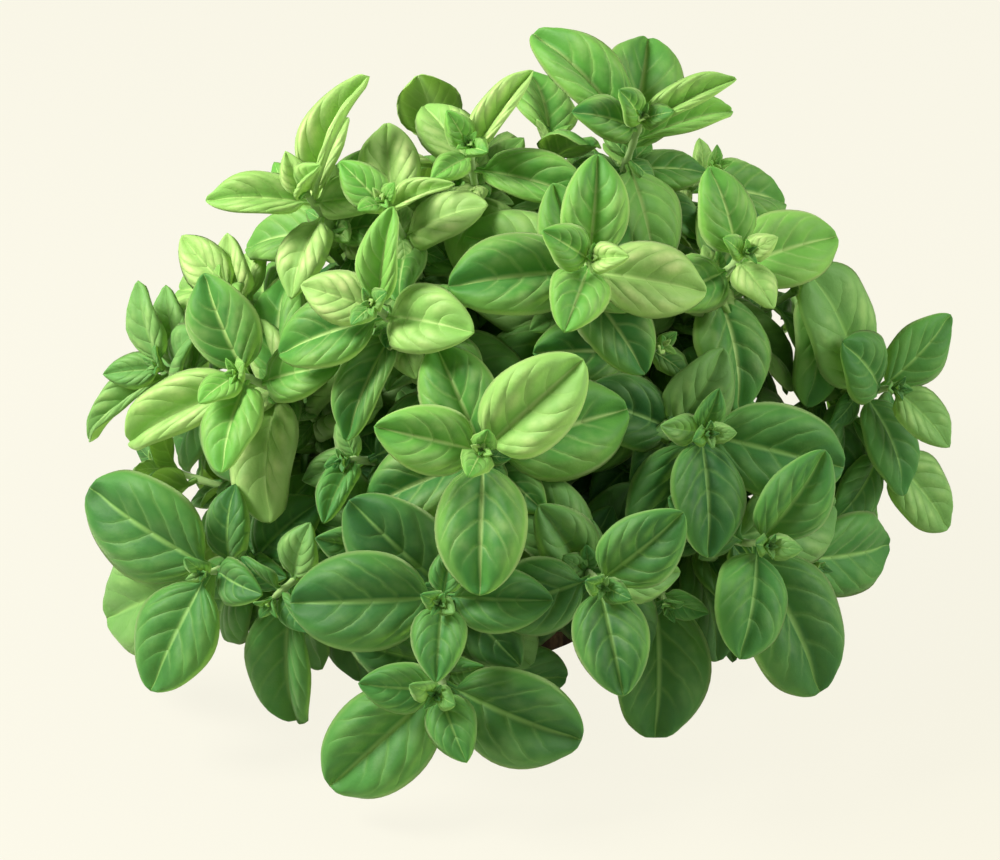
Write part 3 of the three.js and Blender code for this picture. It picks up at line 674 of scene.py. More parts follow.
class Graph:
    """A node tree written as formulas."""

    PITCH = 220
    WITHIN = 0.5
    MIX_A, MIX_B, MIX_RESULT = 6, 7, 2

    def __init__(self, tree):
        self.tree = tree

    def node(self, kind, inputs=(), **settings):
        node = self.tree.nodes.new(kind)
        node.location.x = self.PITCH * len(self.tree.nodes)
        for key, value in settings.items():
            setattr(node, key, value)
        for key, value in dict(inputs).items():
            self.feed(node.inputs[key], value)
        return node

    def feed(self, socket, value):
        if isinstance(value, Wire):
            self.tree.links.new(value.socket, socket)
        else:
            socket.default_value = value

    def wire(self, node, output=0):
        return Wire(self, node.outputs[output])

    def made(self, kind, inputs=(), output=0, **settings):
        """The output of a new node."""
        return self.wire(self.node(kind, inputs, **settings), output)

    def calc(self, operation, *values):
        vector = any(isinstance(value, Wire) and value.is_vector for value in values)
        kind = "ShaderNodeVectorMath" if vector else "ShaderNodeMath"
        return self.made(kind, enumerate(values), operation=operation)

    def sin(self, value):
        return self.calc("SINE", value)

    def cos(self, value):
        return self.calc("COSINE", value)

    def abs(self, value):
        return self.calc("ABSOLUTE", value)

    def max(self, a, b):
        return self.calc("MAXIMUM", a, b)

    def over(self, a, b):
        """1 where a is over b, and otherwise 0."""
        return self.calc("GREATER_THAN", a, b)

    def equal(self, a, b):
        """1 where two whole numbers are the same, and otherwise 0."""
        return self.made("ShaderNodeMath", {0: a, 1: b, 2: self.WITHIN}, operation="COMPARE")

    def remap(self, value, start, end):
        """0 at the start and 1 at the end, which may be the lower one, softly in between."""
        inputs = {"Value": value, "From Min": start, "From Max": end}
        return self.made("ShaderNodeMapRange", inputs, interpolation_type="SMOOTHSTEP")

    def parts(self, vector):
        node = self.node("ShaderNodeSeparateXYZ", {0: vector})
        return [Wire(self, output) for output in node.outputs]

    def vector(self, x, y, z):
        return self.made("ShaderNodeCombineXYZ", {0: x, 1: y, 2: z})

    def position(self):
        return self.made("GeometryNodeInputPosition")

    def attribute(self, name, kind="FLOAT"):
        return self.made("GeometryNodeInputNamedAttribute", {"Name": name}, data_type=kind)

    def store(self, geometry, name, value, kind="FLOAT", domain="POINT"):
        inputs = {"Geometry": geometry, "Name": name, "Value": value}
        return self.made("GeometryNodeStoreNamedAttribute", inputs, data_type=kind, domain=domain)

    def moved(self, geometry, place):
        return self.made("GeometryNodeSetPosition", {"Geometry": geometry, "Position": place})

    def realized(self, *geometries):
        return self.made("GeometryNodeRealizeInstances", {"Geometry": self.join(*geometries)})

    def join(self, *geometries):
        node = self.node("GeometryNodeJoinGeometry")
        for geometry in geometries:
            self.feed(node.inputs[0], geometry)
        return self.wire(node)

    def surface(self, name):
        """A number that the mesh carries, as a material reads it."""
        return self.made("ShaderNodeAttribute", output="Fac", attribute_name=name)

    def object_place(self):
        return self.made("ShaderNodeTexCoord", output="Object")

    def noise(self, place, scale, detail=3.0):
        return self.made("ShaderNodeTexNoise", {"Vector": place, "Scale": scale, "Detail": detail}, "Fac")

    def mixed(self, share, a, b):
        """Colour a passing to colour b as the share grows."""
        a, b = (shade if isinstance(shade, Wire) else opaque(shade) for shade in (a, b))
        inputs = {0: share, self.MIX_A: a, self.MIX_B: b}
        return self.made("ShaderNodeMix", inputs, self.MIX_RESULT, data_type="RGBA")

    def bumped(self, height, look):
        """The normal of a skin with that height on it."""
        inputs = {"Height": height, "Strength": look["strength"], "Distance": look["relief"]}
        return self.made("ShaderNodeBump", inputs)


def vein_phase(s, v_abs):
    """Counts the side veins from the stalk to the tip; each leaves the midrib and arches forward."""
    along = (s - LEAF["petiole_share"]) / (1 - LEAF["petiole_share"])
    return (along - v_abs * VEINS["rise"] - v_abs * v_abs * VEINS["curl"]) * VEINS["count"]


def blade_shell(g, rows, columns):
    """A closed blade in its own measure: x from stem to tip, y from margin to margin, z its two faces."""
    sides = []
    for side, part in ((1, TOP_PART), (-1, UNDER_PART)):
        sizes = {"Size X": 1, "Size Y": 2, "Vertices X": rows + 1, "Vertices Y": columns + 1}
        sheet = g.made("GeometryNodeMeshGrid", sizes, "Mesh")
        if side < 0:
            sheet = g.made("GeometryNodeFlipFaces", {0: sheet})
        x, y, _ = g.parts(g.position())
        x = x + 0.5
        s = x - g.sin(x * math.tau) * (SHELL["crowding"] / math.tau)
        within = g.over(x * (1 - x), SHELL["end"])
        v = y * within
        z = (1 - g.abs(v) ** SHELL["edge"]) * within * side
        sides.append(g.store(g.moved(sheet, g.vector(s, v, z)), "part", part, domain="FACE"))
    inputs = {"Geometry": g.join(*sides), "Distance": SHELL["weld"]}
    closed = g.made("GeometryNodeMergeByDistance", inputs)
    place = g.position()
    closed = g.store(closed, "blade", place, "FLOAT_VECTOR")
    x, y, _ = g.parts(place)
    return g.store(closed, "UVMap", g.vector(y * 0.5 + 0.5, x, 0), "FLOAT2", "CORNER")


def leaf_place(g, thickness, quilt, wave):
    """Where a blade's point lies on its shoot: the frame's leaf with quilting, puffed halves and wave."""
    s, v, z = g.parts(g.attribute("blade", "FLOAT_VECTOR"))
    length, width, arch = g.attribute("length"), g.attribute("width"), g.attribute("arch")
    splay, fold, twist = g.attribute("splay"), g.attribute("fold"), g.attribute("twist") * s
    axis, out = g.attribute("axis", "FLOAT_VECTOR"), g.attribute("out", "FLOAT_VECTOR")
    across = g.calc("CROSS_PRODUCT", axis, out)
    now = splay + arch * s
    along = length * (g.sin(now) - g.sin(splay)) / arch
    away = length * (g.cos(splay) - g.cos(now)) / arch
    face = axis * g.sin(now) - out * g.cos(now)
    side = across * g.cos(twist) + face * g.sin(twist)
    face = face * g.cos(twist) - across * g.sin(twist)
    share = (s - LEAF["petiole_share"]) / (1 - LEAF["petiole_share"])
    t = g.made("ShaderNodeClamp", {0: share})
    ovate = t ** LEAF["base_curve"] * (1 - t) ** g.attribute("tip_curve") * g.attribute("fullness")
    half = g.max(width * 0.5 * ovate, (1 - t) * (LEAF["petiole_width"] / 2 * MM))
    v_abs = g.abs(v)
    blade = g.remap(t, *RELIEF["base"]) * g.remap(t, *RELIEF["tip"])
    rounds = g.abs(g.sin(vein_phase(s, v_abs) * math.pi)) ** RELIEF["rounding"]
    between = g.remap(v_abs, *RELIEF["from_midrib"]), g.remap(v_abs, *RELIEF["to_margin"])
    bulge = rounds * between[0] * between[1] * length * quilt
    furrow = g.remap(v_abs, *RELIEF["furrow"]) * length * quilt * -RELIEF["furrow_depth"]
    puff = g.sin(v_abs * math.pi) * half * g.attribute("puff")
    along_margin = s * WAVE["along"] + g.attribute("phase") + g.over(v, 0) * WAVE["offset"]
    ripple = g.sin(along_margin) * v_abs ** 2 * length * wave
    rolled = g.remap(v_abs, *ROLLED_FROM) * half * -ROLLED
    rolled = rolled - g.remap(s, *DROOP_FROM) * length * DROOP
    stalk = g.remap(s, *STALK["thick"]) * LEAF["petiole_width"] * MM * STALK["thickness"]
    height = (bulge + furrow) * blade + puff + (ripple + rolled) * blade + z * (thickness * 0.5 + stalk)
    flat = side * (half * v * g.cos(fold)) + face * (half * v_abs * g.sin(fold) + height)
    return g.attribute("root", "FLOAT_VECTOR") + axis * along + out * away + flat


def add_sockets(tree, side, kind, *names):
    for name in names:
        tree.interface.new_socket(name=name, in_out=side, socket_type=f"NodeSocket{kind}")


def leafy_stem_tree():
    """Points with a leaf's measures become leaves, and the path's edges become a square stem."""
    tree = bpy.data.node_groups.new("Leafy stem", "GeometryNodeTree")
    measures = ("Blade thickness", "Quilting", "Margin wave")
    skins = {STEM_PART: "Stem skin", TOP_PART: "Leaf top", UNDER_PART: "Leaf underside"}
    add_sockets(tree, "OUTPUT", "Geometry", "Geometry")
    add_sockets(tree, "INPUT", "Geometry", "Geometry")
    add_sockets(tree, "INPUT", "Float", *measures)
    add_sockets(tree, "INPUT", "Material", *skins.values())
    g = Graph(tree)
    given = g.node("NodeGroupInput")
    host = g.store(g.wire(given, "Geometry"), "root", g.position(), "FLOAT_VECTOR")

    leaves = []
    for form, blade in enumerate(BLADES):
        chosen = g.equal(g.attribute("form"), form)
        shell = blade_shell(g, blade["rows"], blade["columns"])
        inputs = {"Points": host, "Selection": chosen, "Instance": shell}
        leaves.append(g.made("GeometryNodeInstanceOnPoints", inputs))
    place = leaf_place(g, *(g.wire(given, name) for name in measures))
    grown = g.moved(g.realized(*leaves), place)

    path = g.made("GeometryNodeMeshToCurve", {"Mesh": host})
    profile = g.made("GeometryNodeCurvePrimitiveCircle", {"Resolution": SQUARE["points"], "Radius": 1})
    x, y, _ = g.parts(g.position())
    square = 1 - (x * y) ** 2 * SQUARE["flattened"]
    profile = g.moved(profile, g.position() * (square * SQUARE["size"]))
    tube = {"Curve": path, "Profile Curve": profile, "Scale": g.attribute("radius"), "Fill Caps": True}
    stem = g.store(g.made("GeometryNodeCurveToMesh", tube), "part", STEM_PART, domain="FACE")

    whole = g.made("GeometryNodeSetShadeSmooth", {"Geometry": g.realized(grown, stem)})
    for part, name in skins.items():
        chosen = g.equal(g.attribute("part"), part)
        inputs = {"Geometry": whole, "Selection": chosen, "Material": g.wire(given, name)}
        whole = g.made("GeometryNodeSetMaterial", inputs)
    g.node("NodeGroupOutput", {"Geometry": whole})
    return tree


def softened(samples, reach):
    """Each place moved to the mean of those about it, of fewer towards the two ends."""
    last = len(samples) - 1
    spans = [min(i, last - i, reach) for i in range(len(samples))]
    return np.array([samples[i - span:i + span + 1].mean(0) for i, span in enumerate(spans)])


def stem_path(plant):
    """Places down a shoot's stem, with the stem's radius and how far down they lie."""
    line = plant["line"]
    along = np.linspace(0, 1, STEM_PATH["samples"])
    pitch = line.length / (STEM_PATH["samples"] - 1)
    reach = max(1, round(STEM_PATH["soften"] / pitch))
    smooth = softened(np.array([line.stepped(share) for share in along]), reach)
    count = round(line.length / STEM_PATH["step"])
    shares = np.linspace(0, 1, count + 1)
    points = np.column_stack([np.interp(shares, along, axis) for axis in smooth.T])
    depths = (1 - shares) * line.length
    radii = lerp(STEM["tip_radius"], STEM["foot_radius"], 1 - shares)
    for below in {round(leaf["below"], 2) for leaf in plant["leaves"]}:
        swelling = STEM_PATH["swelling"] * np.exp(-((depths - below) / STEM_PATH["swelling_reach"]) ** 2)
        radii += swelling * (below > SWELLS_BELOW)
    least = STEM_PATH["least"]
    radii *= np.clip(least + (1 - least) * depths / STEM_PATH["taper"], 0, 1)
    return points, radii, depths


def leaf_form(length):
    return next(i for i, blade in enumerate(BLADES) if length >= blade["from"])


def tip_curve(length):
    share = np.clip((length - TIP["small"]) / (TIP["large"] - TIP["small"]), 0, 1)
    return lerp(TIP["small_curve"], TIP["large_curve"], share)


def peak(curve):
    """The greatest value of the ovate outline with that curve towards the tip."""
    base = LEAF["base_curve"]
    t = base / (base + curve)
    return t ** base * (1 - t) ** curve


def own_tone(leaf, chance):
    return chance if leaf.get("tone") is None else leaf["tone"]


def host_mesh(plant, draw):
    """The shoot as the tree reads it: a point with its measures for each leaf, and the stem as edges."""
    leaves = plant["leaves"]
    points, radii, depths = stem_path(plant)
    size = len(leaves) + len(points)
    mesh = bpy.data.meshes.new("host")
    edges = [(i, i + 1) for i in range(len(leaves), size - 1)]
    places = np.vstack([np.array([leaf["root"] for leaf in leaves]), points]) * MM
    mesh.from_pydata(places.tolist(), edges, [])

    def attribute(name, of_leaf, on_path=0.0, kind="FLOAT"):
        data = mesh.attributes.new(name, kind, "POINT").data
        own = np.array([of_leaf(leaf) for leaf in leaves], float)
        rest = np.zeros((len(points), *own.shape[1:])) + on_path
        field = "vector" if kind == "FLOAT_VECTOR" else "value"
        data.foreach_set(field, np.concatenate([own, rest]).ravel())

    for name in ("axis", "out"):
        attribute(name, lambda leaf: leaf[name], kind="FLOAT_VECTOR")
    for name in ("splay", "arch", "fold", "twist"):
        attribute(name, lambda leaf: leaf[name])
    for name in ("length", "width"):
        attribute(name, lambda leaf: leaf[name] * MM)
    attribute("form", lambda leaf: leaf_form(leaf["length"]), NO_BLADE)
    attribute("tip_curve", lambda leaf: tip_curve(leaf["length"]))
    fullest = LEAF["fullness"] * peak(LEAF["tip_curve"])
    attribute("fullness", lambda leaf: fullest / peak(tip_curve(leaf["length"])))
    attribute("puff", lambda leaf: lerp(*RELIEF["puff"], draw()))
    attribute("detail", lambda leaf: min(1, leaf["length"] / FULL_DETAIL))
    attribute("phase", lambda leaf: draw() * math.tau)
    # Painted sunlight: the sunny shoots' leaves are never less pale than this.
    least = SUNNY["least"] if plant["shoot"][0] in SUNNY["shoots"] else 0
    attribute("tone", lambda leaf: own_tone(leaf, lerp(least, 1, draw())), draw())
    age_on_path = np.clip(depths / plant["line"].length, 0, 1)
    attribute("age", lambda leaf: min(1, leaf["below"] / AGED), age_on_path)
    attribute("radius", lambda leaf: 0, radii * MM)
    return mesh


def linked(name, data):
    """A new object of the scene that holds the data."""
    obj = bpy.data.objects.new(name, data)
    bpy.context.collection.objects.link(obj)
    return obj


def grown_mesh(name, host, tree, inputs):
    """The tree run on the host, as a plain mesh."""
    source = linked("host", host)
    modifier = source.modifiers.new("Grow", "NODES")
    modifier.node_group = tree
    for item in tree.interface.items_tree:
        if item.in_out == "INPUT" and item.name in inputs:
            modifier[item.identifier] = inputs[item.name]
    depsgraph = bpy.context.evaluated_depsgraph_get()
    evaluated = source.evaluated_get(depsgraph)
    mesh = bpy.data.meshes.new_from_object(evaluated, preserve_all_data_layers=True, depsgraph=depsgraph)
    bpy.data.objects.remove(source)
    bpy.data.meshes.remove(host)
    for spare in [attribute.name for attribute in mesh.attributes]:
        if spare not in KEPT_ATTRIBUTES and not spare.startswith("."):
            mesh.attributes.remove(mesh.attributes[spare])
    mesh.name = name
    return mesh


# ---------------------------------------------------------------- materials

def linear(red, green, blue):
    """A colour as a screen shows it, 0 to 255, as the light it stands for."""
    shares = (part / 255 for part in (red, green, blue))
    return tuple(share / 12.92 if share <= 0.04045 else ((share + 0.055) / 1.055) ** 2.4 for share in shares)


def new_material(name):
    material = bpy.data.materials.new(name)
    material.use_nodes = True
    material.node_tree.nodes.clear()
    return material, Graph(material.node_tree)


# How fine each pattern's noise is, in turns per metre.
GRAIN = {"wander": 260, "rim": 170, "hairs": 1500, "patches": 210, "mottle": 130,
         "stem_bands": 160, "stem_skin": 900, "bark": 420}
# Where a leaf's markings start and end: across it from the midrib, 0, to the margin, 1, or along it from the
# stem, 0, to the tip, 1; and how far the noise moves them.
MARKS = {"wander": 0.3, "vein": (0.17, 0.0), "fade_across": (1.0, 0.7), "fade_at_tip": (0.88, 0.62),
         "fade_at_stalk": (LEAF["petiole_share"], 0.2), "midrib": (0.1, 0.02), "midrib_taper": 0.03,
         "margin": (0.9, 0.99), "rim": (0.35, 1.05), "rim_wander": 0.5, "rounding": 0.7,
         "bloom_across": (0.05, 0.4), "patches": (0.3, 0.75), "hair_detail": 2.0}
# How far the hairs and the margin stand out and the midrib lies in, against the bulges between the veins.
HEIGHTS = {"hairs": 0.16, "midrib": 0.45, "margin": 0.12}
# What makes a leaf lighter or darker, where depth darkens it partly as an older leaf and partly as painted
# shade, and the tones at which it turns pale and the ages at which it takes the painted inner shade.
SHADES = {"mottle": 0.6, "tone": 0.75, "age": 0.45, "range": (0.1, 1.0), "pale": (0.6, 1.0),
          "pale_between": 0.5, "inner": (0.15, 0.75), "inner_share": 0.6}
# The sheen of a leaf's hairs, and how much of the light that meets it comes out on its other side.
HAIRS = {"weight": 0.2, "roughness": 0.45, "shine": 0.3}
THROUGH_SHARE = 0.2
# The colours that each kind of leaf has: sunlit and shaded kinds are painted lit and shaded copies, the
# underside its own.
LEAF_COLOURS = ("deep", "light", "rim", "vein", "bloom")
# How strongly each marking shows on a leaf's two faces, and how deep its relief is, in metres.
TOP_LOOK = {"rim": 0.45, "bloom": 0.2, "pale": 0.68, "veins": 0.28, "midrib": 0.8, "margin": 0.6,
            "strength": 0.6, "relief": 0.0007, "roughness": 0.6}
UNDER_LOOK = {"rim": 0.3, "bloom": 0.1, "pale": 0.2, "veins": 0.35, "midrib": 0.6, "margin": 0.4,
              "strength": 0.4, "relief": -0.0006, "roughness": 0.68}
# Where a stem turns from green to reddish brown and then to grey, and its skin.
STEM_LOOK = {"bands": 0.3, "own": 0.3, "reddening": (0.3, 0.6), "greying": (0.6, 0.95),
             "strength": 0.3, "relief": 0.0003, "roughness": 0.62, "sheen": 0.2}
# How the bark's ridges are drawn out, from where to where they lighten, and its skin.
BARK_LOOK = {"stretch": (1, 1, 0.3), "lightening": (0.35, 0.7), "strength": 0.6, "relief": 0.0008,
             "roughness": 0.85}


def leaf_markings_group():
    """Where a leaf's veins and margin run, pale hairs and painted sheen on its bulges, and its quilting's
    height.
    """
    tree = bpy.data.node_groups.new("Leaf markings", "ShaderNodeTree")
    add_sockets(tree, "INPUT", "Vector", "UV", "Place")
    add_sockets(tree, "OUTPUT", "Float", "Veins", "Midrib", "Margin", "Rim", "Bloom", "Height")
    g = Graph(tree)
    given = g.node("NodeGroupInput")
    u, s, _ = g.parts(g.wire(given, "UV"))
    place = g.wire(given, "Place")
    v_abs = g.abs(u * 2 - 1)
    phase = vein_phase(s, v_abs) + (g.noise(place, GRAIN["wander"]) - 0.5) * MARKS["wander"]
    from_vein = g.abs(g.calc("FRACT", phase + 0.5) - 0.5)
    fade = g.remap(v_abs, *MARKS["fade_across"]) * g.remap(s, *MARKS["fade_at_tip"])
    fade = fade * g.remap(s, *MARKS["fade_at_stalk"])
    rounds = g.abs(g.sin(phase * math.pi)) ** MARKS["rounding"]
    midrib = g.remap(v_abs + s * MARKS["midrib_taper"], *MARKS["midrib"])
    margin = g.remap(v_abs, *MARKS["margin"])
    rim = v_abs + (g.noise(place, GRAIN["rim"]) - 0.5) * MARKS["rim_wander"]
    # Painted sheen: the bulges between the veins are made paler, in patches, for their highlight as well as
    # for the pale hairs.
    bloom = rounds * fade * g.remap(v_abs, *MARKS["bloom_across"])
    hairs = g.noise(place, GRAIN["hairs"], MARKS["hair_detail"]) * HEIGHTS["hairs"]
    g.node("NodeGroupOutput", {
        "Veins": g.remap(from_vein, *MARKS["vein"]) * fade,
        "Midrib": midrib,
        "Margin": margin,
        "Rim": g.remap(rim, *MARKS["rim"]),
        "Bloom": bloom * g.remap(g.noise(place, GRAIN["patches"]), *MARKS["patches"]),
        "Height": rounds * fade + hairs - midrib * HEIGHTS["midrib"] + margin * HEIGHTS["margin"],
    })
    return tree


def finished(g, surface):
    g.node("ShaderNodeOutputMaterial", {"Surface": surface})


def leaf_material(name, settings, kind, markings, look):
    """A leaf's face: matt green between paler veins, hairs with painted sheen, painted inner shade, light
    through.
    """
    material, g = new_material(name)
    deep, light, rim, vein, bloom_and_sheen_tint = (getattr(settings, f"{kind}_{part}") for part in LEAF_COLOURS)
    place = g.object_place()
    inputs = {"UV": g.made("ShaderNodeUVMap", uv_map="UVMap"), "Place": place}
    marks = g.node("ShaderNodeGroup", inputs, node_tree=markings)
    tone, age = g.surface("tone"), g.surface("age")
    # Darker with depth below the tip (age): partly an older leaf's own colour, partly painted shade.
    green = g.noise(place, GRAIN["mottle"]) * SHADES["mottle"] + tone * SHADES["tone"]
    base = g.mixed(g.remap(green - age * SHADES["age"], *SHADES["range"]), deep, light)
    base = g.mixed(g.wire(marks, "Rim") * look["rim"], base, rim)
    bloom = g.wire(marks, "Bloom")
    # Pale leaves take the bloom colour by their tone; on the sunny shoots this paleness is painted sunlight.
    pale = g.remap(tone, *SHADES["pale"]) * look["pale"] * (bloom + SHADES["pale_between"])
    base = g.mixed(g.max(bloom * look["bloom"], pale), base, bloom_and_sheen_tint)
    lines = g.max(g.wire(marks, "Veins") * look["veins"], g.wire(marks, "Midrib") * look["midrib"])
    lines = g.max(lines, g.wire(marks, "Margin") * look["margin"])
    base = g.mixed(lines, base, vein)
    # Painted shade: leaves deep inside the cushion are darkened towards the inner colour, by their depth.
    base = g.mixed(g.remap(age, *SHADES["inner"]) * SHADES["inner_share"], base, settings.inner)
    normal = g.bumped(g.wire(marks, "Height") * g.surface("detail"), look)
    skin = g.made("ShaderNodeBsdfPrincipled", {
        "Base Color": base,
        "Roughness": look["roughness"],
        "Normal": normal,
        "Sheen Weight": HAIRS["weight"],
        "Sheen Roughness": HAIRS["roughness"],
        "Sheen Tint": opaque(settings.hairs),
        "Specular IOR Level": HAIRS["shine"],
    })
    glow = g.made("ShaderNodeBsdfTranslucent", {"Color": opaque(settings.through), "Normal": normal})
    leaf = g.made("ShaderNodeMixShader", {0: THROUGH_SHARE, 1: skin, 2: glow})
    inside = g.made("ShaderNodeNewGeometry", output="Backfacing")
    clear = g.made("ShaderNodeBsdfTransparent")
    finished(g, g.made("ShaderNodeMixShader", {0: inside, 1: leaf, 2: clear}))
    return material


def stem_material(settings):
    """Pale green at the tip, turning reddish brown and then to grey wood towards the crown."""
    material, g = new_material("stem skin")
    place, look = g.object_place(), STEM_LOOK
    bands = (g.noise(place, GRAIN["stem_bands"]) - 0.5) * look["bands"]
    grown = g.surface("age") + bands + (g.surface("tone") - 0.5) * look["own"]
    young = g.mixed(g.remap(grown, *look["reddening"]), settings.stem_young, settings.stem_grown)
    finished(g, g.made("ShaderNodeBsdfPrincipled", {
        "Base Color": g.mixed(g.remap(grown, *look["greying"]), young, settings.stem_old),
        "Roughness": look["roughness"],
        "Normal": g.bumped(g.noise(place, GRAIN["stem_skin"]), look),
        "Sheen Weight": look["sheen"],
    }))
    return material


def bark_material(settings):
    material, g = new_material("bark")
    ridges = g.noise(g.object_place() * BARK_LOOK["stretch"], GRAIN["bark"])
    lighter = g.remap(ridges, *BARK_LOOK["lightening"])
    finished(g, g.made("ShaderNodeBsdfPrincipled", {
        "Base Color": g.mixed(lighter, settings.bark_dark, settings.bark_light),
        "Roughness": BARK_LOOK["roughness"],
        "Normal": g.bumped(ridges, BARK_LOOK),
    }))
    return material


# ---------------------------------------------------------------- pieces

# The crown's steps round it, up its side and over its top, the ridges of its bark, and the stems' collars.
CROWN_MESH = {"round": 120, "side": 10, "top": 26, "inset": 0.97, "ridges": 23, "ridge_depth": 0.03,
              "ridge_rise": 1.1, "ridge_on_top": 0.4, "sway": 1.3, "sways": 3, "collar": 1.1,
              "collar_reach": 2.4, "collar_fade": 6, "flat": 0.98}
# A stem whose tip is higher than this, in millimetres, has leaves painted in the sunlit colours, and a lower
# one in the shaded ones.
LIT_HEIGHT = 80


def claim(piece, node):
    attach(piece, BODY)
    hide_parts(node)


def crown_mesh(name, plants):
    """The woody crown: a lumpy ridged side, a dome with a collar round each stem, and a flat sawn base."""
    feet = np.array([plant["line"].points[0][:2] for plant in plants])
    around = np.linspace(0, math.tau, CROWN_MESH["round"], endpoint=False)
    lumps = (1 + CROWN["lump_depth"] * np.cos(CROWN["lumps"] * around)) * CROWN_MESH["inset"]
    sway = CROWN_MESH["sway"] * np.sin(CROWN_MESH["sways"] * around)
    ridges = CROWN_MESH["ridge_depth"] * np.cos(CROWN_MESH["ridges"] * around + sway)
    rim_height = crown_top(CROWN["radius"])
    rings = []
    for i in range(CROWN_MESH["side"]):
        share = i / CROWN_MESH["side"]
        rise = math.sin(math.pi * min(1, share * CROWN_MESH["ridge_rise"]))
        radius = CROWN["radius"] * (lumps + ridges * rise)
        rings.append((radius, np.full_like(around, rim_height * share)))
    for i in range(CROWN_MESH["top"]):
        share = 1 - i / CROWN_MESH["top"]
        radius = CROWN["radius"] * share * lerp(1, lumps + ridges * CROWN_MESH["ridge_on_top"], share)
        x, y = radius * np.sin(around), -radius * np.cos(around)
        apart = np.hypot(x[:, None] - feet[:, 0], y[:, None] - feet[:, 1])
        collars = (CROWN_MESH["collar"] * np.exp(-(apart / CROWN_MESH["collar_reach"]) ** 2)).max(1)
        collars *= min(1, CROWN_MESH["collar_fade"] * (1 - share))
        rings.append((radius, crown_top(CROWN["radius"] * share) + collars))
    vertices = [(0, 0, 0)]
    for radius, height in rings:
        vertices += zip(radius * np.sin(around), -radius * np.cos(around), height)
    vertices.append((0, 0, crown_top(0)))
    count, last = CROWN_MESH["round"], len(vertices) - 1
    faces = []
    for j in range(count):
        k = (j + 1) % count
        faces.append((0, 1 + k, 1 + j))
        for ring in range(len(rings) - 1):
            low, high = 1 + ring * count, 1 + (ring + 1) * count
            faces.append((low + j, low + k, high + k, high + j))
        top = 1 + (len(rings) - 1) * count
        faces.append((top + j, top + k, last))
    mesh = bpy.data.meshes.new(name)
    mesh.from_pydata((np.array(vertices, float) * MM).tolist(), [], faces)
    for polygon in mesh.polygons:
        polygon.use_smooth = abs(polygon.normal.z) < CROWN_MESH["flat"] or polygon.center.z > MM
    return mesh


def colour(name, description, *screen):
    return FloatVectorProperty(name=name, description=description, subtype="COLOR", default=linear(*screen))


def number(name, description, default, unit="NONE"):
    return FloatProperty(name=name, description=description, default=default, unit=unit)


class FoliageSettings(bpy.types.PropertyGroup):
    thickness: number("Blade thickness", "Thickness of a leaf's blade", 0.0005, "LENGTH")
    quilt: number("Quilting", "Height of the bulges between the veins, per leaf length", 0.013)
    wave: number("Margin wave", "Wave of the margins, per leaf length", 0.02)
    # Painted light: the sunlit and shaded leaf colours are lit and shaded copies of one leaf, for high and
    # low shoots.
    bright_deep: colour("Sunlit leaf, deep", "Darkest green of the upper leaves", 40, 104, 42)
    bright_light: colour("Sunlit leaf, light", "Lightest green of the upper leaves", 92, 158, 58)
    bright_rim: colour("Sunlit leaf, rim", "Upper leaves towards their margin", 130, 182, 80)
    bright_vein: colour("Sunlit leaf, veins", "Veins and margin of the upper leaves", 172, 206, 122)
    # The bloom colours are pale hairs together with painted sheen on the bulges between the veins.
    bright_bloom: colour("Sunlit leaf, bloom", "Hairy bloom on the upper leaves", 206, 224, 150)
    deep_deep: colour("Shaded leaf, deep", "Darkest green of the lower leaves", 26, 82, 36)
    deep_light: colour("Shaded leaf, light", "Lightest green of the lower leaves", 58, 122, 52)
    deep_rim: colour("Shaded leaf, rim", "Lower leaves towards their margin", 84, 144, 60)
    deep_vein: colour("Shaded leaf, veins", "Veins and margin of the lower leaves", 128, 172, 92)
    deep_bloom: colour("Shaded leaf, bloom", "Hairy bloom on the lower leaves", 146, 184, 108)
    under_deep: colour("Underside, deep", "Darkest green of the undersides", 94, 138, 70)
    under_light: colour("Underside, light", "Lightest green of the undersides", 134, 172, 94)
    under_rim: colour("Underside, rim", "Undersides towards their margin", 142, 178, 94)
    under_vein: colour("Underside, veins", "Veins and margin of the undersides", 176, 204, 132)
    under_bloom: colour("Underside, bloom", "Hairy bloom on the undersides", 180, 206, 142)
    # Painted shade for the leaves deep inside the cushion.
    inner: colour("Inner leaf", "Leaves deep inside the cushion", 34, 70, 34)
    through: colour("Light through", "Light that comes through a leaf", 138, 192, 62)
    hairs: colour("Hairs", "Sheen of the hairs on a leaf", 212, 236, 170)
    stem_young: colour("Stem, young", "Stem near its tip", 142, 176, 104)
    stem_grown: colour("Stem, grown", "Stem half way down", 128, 94, 64)
    stem_old: colour("Stem, old", "Stem near the crown", 88, 64, 46)


class CrownSettings(bpy.types.PropertyGroup):
    bark_dark: colour("Bark, dark", "Furrows of the bark", 74, 54, 40)
    bark_light: colour("Bark, light", "Ridges of the bark", 142, 112, 82)


class StageSettings(bpy.types.PropertyGroup):
    key_power: number("Key light", "Power of the light from above and the left", 8.5, "POWER")
    fill_power: number("Fill light", "Power of the soft front light", 2.0, "POWER")
    side_power: number("Side light", "Power of the light from the right", 12.0, "POWER")
    ambient: number("Ambient", "Strength of the light from all round", 0.25)
    floor_near: colour("Floor", "Floor towards the light", 253, 250, 235)
    floor_far: colour("Floor, far side", "Floor away from the light", 249, 245, 226)


